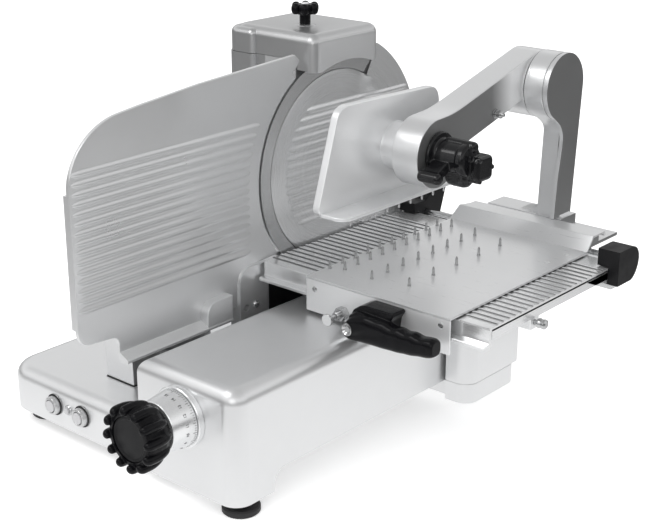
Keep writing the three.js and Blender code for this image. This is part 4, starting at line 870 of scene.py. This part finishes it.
def slide():
    z = SHEET_Z
    line = [(258, z), (593.6, z), (609.5, 152), (638, 152), (641.3, 147), (644.2, 147), (640, 155),
            (608, 155), (592, z + 3), (258, z + 3)]
    plate = prism("sheet", line, "x", 97, 340)
    boolean(plate, [prism("t", [(92, 592.7), (97, 592.7), (111, 625), (111, 660), (92, 660)], "z", 120, 170)])
    rounded(plate, 0.8, 2, 25)
    spike = [(INNER, 133.5), (2.6, 134.2), (2.5, 136), (1.9, 137), (1.8, 144.2), (0.9, 147), (INNER, 147.5)]
    rows = ((104, 300, 27.8, 10), (123, 310, 27.9, 10), (174, 306, 34.8, 8), (229, 318, 54.2, 5))
    spikes = join("spikes", [lathe("s", spike, "z", (x, y + i * pitch), 14) for x, y, pitch, count in rows
                             for i in range(count)])
    screws = [lathe("s", [(INNER, 136.2), (2.4, 136), (4.2, 135), (4.2, 134), (INNER, 134)], "z", c, 32)
              for c in ((318, 520), (322, 566))]
    dress(join("slide_sheet", [plate, *screws]), plate_metal, "slide", "slide_plate", angle=28)
    dress(spikes, spike_metal, "slide")
    # A thin black strip under the slide plate's right edge: painted shadow where the ribs run under the
    # plate.
    painted_edge_shadow = rounded(block("painted_edge_shadow", 334, 339.4, 275, 590, 131.02, 131.45), 0.15, 1)
    dress(painted_edge_shadow, rubber, "slide")

    face = drill(block("f", 97, 340, 258, 261, 84.5, 131.2), 3.7, "y", PLUNGER, 250, 270, 32)
    rounded(face, 0.7, 2)
    nut = rounded(cyl("n", 10, "y", PLUNGER, 246.5, 258.2, 6), 0.8, 2)
    drill(nut, 3.7, "y", PLUNGER, 230, 270, 32)
    collar = lathe("n", [(3.7, 239.2), (5, 239.2), (5.8, 240), (5.8, 247), (3.7, 247), (3.7, 239.2)],
                   "y", PLUNGER, 40)
    dress(face, sheet_metal, "slide", "front_plate")
    dress(join("plunger_nut", [nut, collar]), spike_metal, "slide")
    screw = [(INNER, 256.5), (2.8, 256.6), (4, 257.3), (4, 258.4), (INNER, 258.4)]
    for x, zz in ((113, 118), (326, 122)):
        slit = block("t", x - 5, x + 5, 255, 257.2, zz - 0.5, zz + 0.5)
        dress(boolean(lathe("s", screw, "y", (x, zz), 40), [slit]), chrome, "slide")
    plunger = lathe("plunger", [(INNER, 222), (8, 222), (8.5, 222.5), (8.5, 224.5), (8, 225), (4.6, 225.4),
                                (3.4, 226.8), (3.4, 261.7), (INNER, 261.7)], "y", PLUNGER, 56)
    # The plunger's face towards the front gets a paler metal: painted highlight.
    face_sides(dress(plunger, spike_metal, "plunger", "index_plunger"), sheet_metal, 0.95, (0, -1, 0))


def handle():
    def squared(v):
        return copysign(abs(v) ** (2 / 3), v)

    def ring(x, z, ry, rz):
        """A rounded box across X, as wide and high as ry and rz say."""
        return [(x, HANDLE_Y + ry * squared(cos(pi * k / 12)), z + rz * squared(sin(pi * k / 12)))
                for k in range(24)]

    stations = spline([(196, 93, 10, 7), (203, 95.6, 11.5, 14.4), (214, 99.2, 12, 18.2),
                       (230, 101.6, 12.6, 19.6), (246, 101.4, 12.4, 18.8), (262, 101.4, 12.4, 18.4),
                       (274, 100.4, 12, 16.6), (286, 101, 12.2, 16.8), (297, 100.8, 11.8, 15.2),
                       (308, 101.8, 12, 15.4), (319, 101.8, 11.6, 13.2), (330, 103, 11.8, 13.2),
                       (338, 104, 11.4, 12.2), (342.5, 104.2, 9.6, 10)], 6)
    bar = loft("g", [ring(*s) for s in stations])
    neck = prism("n", [(203, 98), (199.5, 112), (204, 120.5), (213, 127), (222, 130.4), (269, 130.4),
                       (271, 127.5), (265, 118), (262, 98)], "y", 230, 257.7)
    saddle = prism("n", [(205, 85), (236, 84), (262, 86), (262, 120), (214, 122), (201, 114)], "y", 222, 248)
    body = remelt(join("handle", [bar, rounded(neck, 3), rounded(saddle, 4)]), 1.0, 4)
    drill(body, 9.2, "y", BOLT, 190, 219, 40)
    dress(body, black, "slide", "push_handle", angle=60)
    bolt = lathe("bolt", [(INNER, 215.6), (4, 215.6), (5, 214.6), (7, 213.1), (8.4, 213.6), (9, 215),
                          (9, 218.7), (INNER, 218.7)], "y", BOLT, 48)
    dress(bolt, chrome, "slide", "handle_bolt")


# Post, swinging arm, pusher and clamping grip

def post():
    low = 232
    neck = polar(HEAD, 50, low)
    round_head = arc(HEAD, 50, low, -6, 60)[1:] + [(684, 154)]
    line = [(660, 154), (646, 154), (646, 155.3), (636.6, 155.3), (638, 175), (641.5, 216)]
    line += bezier((647.7, 260), (654, 290), (640, 300), neck, 12)
    right = rounded(prism("leg", line + round_head, "x", 249, 255), 2.2, 4, 40)
    line = [(646, 154)] + bezier((652.5, 282), (652.5, 297), (636, 303), neck, 12)
    body = rounded(prism("leg", line + round_head, "x", 219, 246.6), 1.5, 3, 40)
    core = prism("core", [(660, 154), (664, 292), (684, 320), (684, 154)], "x", 246, 250)
    throat = cyl("throat", 48.5, "x", HEAD, 246, 250, 96)
    head = rounded(cyl("head", 50, "x", HEAD, 215.9, 220, 96), 0.8, 2)
    flare = [(180, 154), (262, 154), (256, 157), (250, 163), (224, 179), (217, 167), (204, 159)]
    soft = [prism("flare", flare, "y", 652, 682), block("f", 130, 334, 604, 690, 134.3, 140),
            block("f", 130, 334, 613, 635.5, 139, 151.7), block("f", 130, 262, 645, 690, 139, 155)]
    soft += [drill(block("f", *ends, 604, 627, 113, 136), 6.3, "x", ROD, 100, 350, 32)
             for ends in ((138, 164), (300, 328))]
    parts = [right, body, core, throat, head, *[rounded(o, 1.5, 2) for o in soft]]
    # The post's +X faces get the dark cast: painted shade.
    face_sides(dress(join("post_casting", parts), cast_soft, "slide", "post"), cast_painted_shade)


def swing():
    top, low = 105, 201
    line = arc(BOSS, 48.5, 88, 358, 70)
    line += bezier((448.5, 296.3), (456, 298), (465, 300), (475, 303), 6)[1:]
    line += bezier((563, 326), (580, 330), (590, 334), polar(HEAD, 49.5, low), 8)
    line += arc(HEAD, 49.5, low, top + 360, 60)[1:]
    line += bezier((463, 356), (448, 352), (436, 349), (420, 347.6), 8)
    bar = prism("bar", line, "x", 168, 212)
    rounded(bar, 1.6, 3, 40)
    hub = cyl("hub", 49.5, "x", HEAD, 173, 214.5, 96)
    rounded(hub, 1.4, 3)
    # A black ring filling the groove between hub and post head: painted shade in the groove.
    painted_groove_shade = lathe("head_painted_groove_shade", [(12.2, 213.6), (48.2, 213.6), (48.5, 213.9), (48.5, 215.5), (48.2, 215.8),
                                   (12.2, 215.8), (12.2, 213.6)], "x", HEAD, 96)
    dress(painted_groove_shade, rubber, "swing")
    cap = lathe("cap", [(INNER, 164), (15, 164), (17, 165.4), (17, 169), (INNER, 169)], "x", HEAD, 64)
    pin = cyl("pin", 12, "x", HEAD, 210, 244, 48)
    # The arm's +X faces get painted shade, turning paler towards the head as painted light.
    face_sides(dress(join("swing_casting", [bar, hub, cap, pin]), cast_soft, "swing", "swing_arm"), arm_painted_light_and_shade)
    nipple = lathe("nipple", [(INNER, 212.3), (6.4, 212.3), (6.8, 213), (6.8, 215), (4.4, 215.7),
                              (4.2, 217.4), (5.6, 218.6), (5.8, 223.6), (4.6, 225), (3.2, 225.8), (2.8, 228),
                              (1.8, 229.2), (INNER, 229.5)], "x", NIPPLE, 32)
    dress(nipple, chrome, "swing", "grease_nipple")


def pusher():
    def line(i):
        """The plate's outline, drawn in by i."""
        pts = [(250 + i, 229 + i)]
        pts += bezier((488 - i, 229 + i), (495 - i, 229 + i), (500 - i, 234 + i), (500 - i, 241 + i), 8)
        pts += bezier((500 - i, 345), (499 - i, 358), (491 - i, 366 - i), (478 - i, 367 - i), 8)
        pts += bezier((300 + i, 372 - i), (286 + i, 372 - i), (277 + i, 366), (274 + i, 354), 8)
        pts += bezier((239 + i, 245 + i), (237 + i, 236 + i), (242 + i, 230 + i), (250 + i, 229 + i), 8)
        return pts[:-1]

    dish = prism("dish", line(0), "x", 126, 138)
    boolean(dish, [prism("t", line(5), "x", 120, 134)])
    rounded(dish, 1.8, 3, 50)
    shelf = prism("shelf", rrect(135, 177, 243, 498, [0, 18, 18, 0], 10), "z", 229, 234.5)
    rounded(shelf, 1.6, 3, 40)
    boss = lathe("boss", [(INNER, 137), (35, 137), (33.6, 138.6), (33, 141), (33, 167), (32.2, 167.7),
                          (INNER, 167.7)], "x", BOSS, 96)
    spindle = cyl("spindle", 9.7, "x", BOSS, 163, 236, 40)
    dress(join("pusher_casting", [dish, shelf, boss, spindle]), pusher_metal, "pusher", "pusher_plate")
    pin = [(INNER, 221), (1.1, 221.4), (1.5, 223), (1.5, 229.6), (INNER, 229.6)]
    pins = [lathe("pn", pin, "z", (172, 262 + i * 26), 14) for i in range(9)]
    dress(join("pusher_pins", pins), chrome, "pusher")


def grip():
    """Clamping lever: hub on a flange, a low wing on top, a nose at the end and a finger bar."""
    face = 212.3

    def capsule(x0, x1, r, c):
        return lathe("b", [(INNER, x0), (r * 0.7, x0 + 0.5), (r * 0.94, x0 + r * 0.35), (r, x0 + r * 0.8),
                           (r, x1 - r * 0.6), (r * 0.9, x1 - r * 0.22), (r * 0.62, x1), (INNER, x1 + 0.3)],
                     "x", c, 32)

    def web(a, b, half, x0, x1):
        (ay, az), (by, bz) = a, b
        n = Vector((az - bz, by - ay)).normalized() * half
        return prism("w", [(ay - n.x, az - n.y), (by - n.x, bz - n.y), (by + n.x, bz + n.y),
                           (ay + n.x, az + n.y)], "x", x0, x1)

    hub = [(INNER, face), (31, face), (31.4, face + 2), (30.4, face + 4.5), (23.5, face + 6),
           (21.6, face + 8), (21.4, face + 40), (23, face + 43), (23, face + 50), (20, face + 53.5),
           (INNER, face + 54.5)]
    parts = [lathe("h", hub, "x", BOSS, 64)]
    for deg, reach, r, x0, x1, near, far, half, w0, w1 in (
            (84, 18.5, 7.5, 222, 272, 0, 20, 7, 246, 269), (203, 50, 8.2, 214, 250, 12, 50, 6.5, 219, 244),
            (280, 26, 15, 226, 262, 0, 26, 14, 230, 258)):
        parts.append(capsule(x0, x1, r, polar(BOSS, reach, deg)))
        parts.append(web(polar(BOSS, near, deg), polar(BOSS, far, deg), half, w0, w1))
    nose = prism("n", rrect(BOSS[0] - 4, BOSS[0] + 34, BOSS[1] - 30, BOSS[1] + 5, 8, 8), "x", 246, 279)
    parts.append(rounded(nose, 5))
    parts += [capsule(250, 281.5, 3.2, (BOSS[0] + y, BOSS[1] + z))
              for y, z in ((2, 2.5), (2, -27.5), (30, -12))]
    body = remelt(join("grip", parts), 0.9, 4)
    drill(body, 10, "x", BOSS, 205, 236.4, 40)
    dress(body, grip_black, "grip", "clamp_grip", angle=60)


for make in (low_base, drive_box, feet, buttons, knife, knife_cover, housing, motor_cover, wall_screw,
             sharpener, gauge, dial, big_knob, carriage, table, brackets, slide, handle, post, swing, pusher,
             grip):
    make()


# Pieces that keep their CAD shape get a finish and smooth shading

for mat, names in (
        (dark_metal, "base_bottom_plate motor_stator motor_rotor guide_roller stone_carrier"),
        (dull_black, "switch_block cable_gland"), (board, "control_board"), (rubber, "drive_belt"),
        (rod_metal, "bearing_front bearing_rear knife_shaft gauge_drive_rod gauge_guide_rod_front "
                    "gauge_guide_rod_rear carriage_guide_shaft"),
        (table_metal, "knife_pulley"), (sheet_metal, "thickness_cam"), (cast, "carriage_slider"),
        (copper, "slider_bushing"), (stone, "grinding_stone deburring_stone")):
    for name in names.split():
        node = nodes[name]
        paint(node, mat)
        node.data.shade_smooth()
        node.modifiers.new("weld", "WELD").merge_threshold = 1e-6
        node.modifiers.new("split", "EDGE_SPLIT").split_angle = radians(35)


# Studio

# Light on dull surfaces from -X to +X, light in glossy ones from below to above, and the
# floor's glow in glossy ones from its middle outwards: (place, brightness)
SOFT_ROOM = ((0.0, 1.0), (0.5, 1.0), (0.75, 0.92), (1.0, 0.8))
GLOSSY_ROOM = ((0.0, 0.9), (0.44, 0.5), (0.485, 0.1), (0.55, 0.1), (0.61, 0.8), (0.72, 0.9), (0.86, 0.5),
               (1.0, 0.4))
GLOSSY_FLOOR = ((0.0, 1.0), (0.24, 0.98), (0.36, 0.8), (0.5, 0.48), (0.66, 0.24), (0.85, 0.16), (1.0, 0.2))


def world():
    """White to the camera, a soft room to dull surfaces and a banded one to glossy ones."""
    w = bpy.data.worlds.new("studio")
    bpy.context.scene.world = w
    w.use_nodes = True
    tree = w.node_tree
    tree.nodes.clear()
    split = add(tree, "SeparateXYZ")
    link(add(tree, "TexCoord").outputs["Generated"], split.inputs["Vector"])
    white = add(tree, "Background", Color=(1, 1, 1, 1), Strength=1.0)
    room = add(tree, "Background", Strength=1.0)
    link(ramp(spread(split.outputs["Z"], 0.0, 1.0, -1.0, 1.0), GLOSSY_ROOM), room.inputs["Color"])
    soft = add(tree, "Background", Strength=1.12)
    link(ramp(spread(split.outputs["X"], 0.0, 1.0, -1.0, 1.0), SOFT_ROOM), soft.inputs["Color"])
    path = add(tree, "LightPath").outputs
    unseen = mix_shader(path["Is Glossy Ray"], soft.outputs["Background"], room.outputs["Background"])
    link(mix_shader(path["Is Camera Ray"], unseen, white.outputs["Background"]),
         add(tree, "OutputWorld").inputs["Surface"])


def area(name, where, aim, power, size, size_y):
    data = bpy.data.lights.new(name, "AREA")
    data.energy = power
    data.shape = "RECTANGLE"
    data.size, data.size_y = size, size_y
    lamp = put_in_scene(name, data)
    lamp.location = where
    lamp.rotation_euler = (Vector(aim) - Vector(where)).to_track_quat("-Z", "Y").to_euler()


def floor():
    """White to the camera; in reflections a pool of light that falls off away from the object."""
    size = 6.0
    mesh = bpy.data.meshes.new("floor")
    mesh.from_pydata([(-size, -size, 0), (size, -size, 0), (size, size, 0), (-size, size, 0)], [],
                     [[0, 1, 2, 3]])
    obj = put_in_scene("floor", mesh)
    mat, tree, s = new_material("floor_white", Base_Color=(0.9, 0.9, 0.9, 1),
                                Roughness=0.8, Specular_IOR_Level=0.0, Emission_Color=(1, 1, 1, 1),
                                Emission_Strength=0.42)
    away = vector_math(add(tree, "TexCoord").outputs["Object"], "LENGTH")
    seen = add(tree, "Emission")
    link(ramp(spread(away, 0.0, 1.0, 0.0, 2.0), GLOSSY_FLOOR), seen.inputs["Color"])
    glossy = add(tree, "LightPath").outputs["Is Glossy Ray"]
    link(mix_shader(glossy, s.outputs["BSDF"], seen.outputs["Emission"]),
         tree.nodes["Material Output"].inputs["Surface"])
    mesh.materials.append(mat)


def camera():
    data = bpy.data.cameras.new("camera")
    data.sensor_width = 36.0
    data.lens = 75.45
    data.clip_start = 0.05
    data.clip_end = 50
    cam = put_in_scene("camera", data)
    cam.location = p(1261.51, -1048.39, 786.08)
    cam.rotation_euler = (radians(90 - 19.8), 0, radians(40.89))
    bpy.context.scene.camera = cam


world()
area("key", (-0.7, -1.6, 2.2), (0, 0, 0.25), 15, 1.5, 1.0)
area("fill", (1.2, -2.2, 0.9), (0, 0, 0.2), 4, 1.2, 1.2)
floor()
camera()
bpy.context.scene.view_settings.view_transform = "Standard"
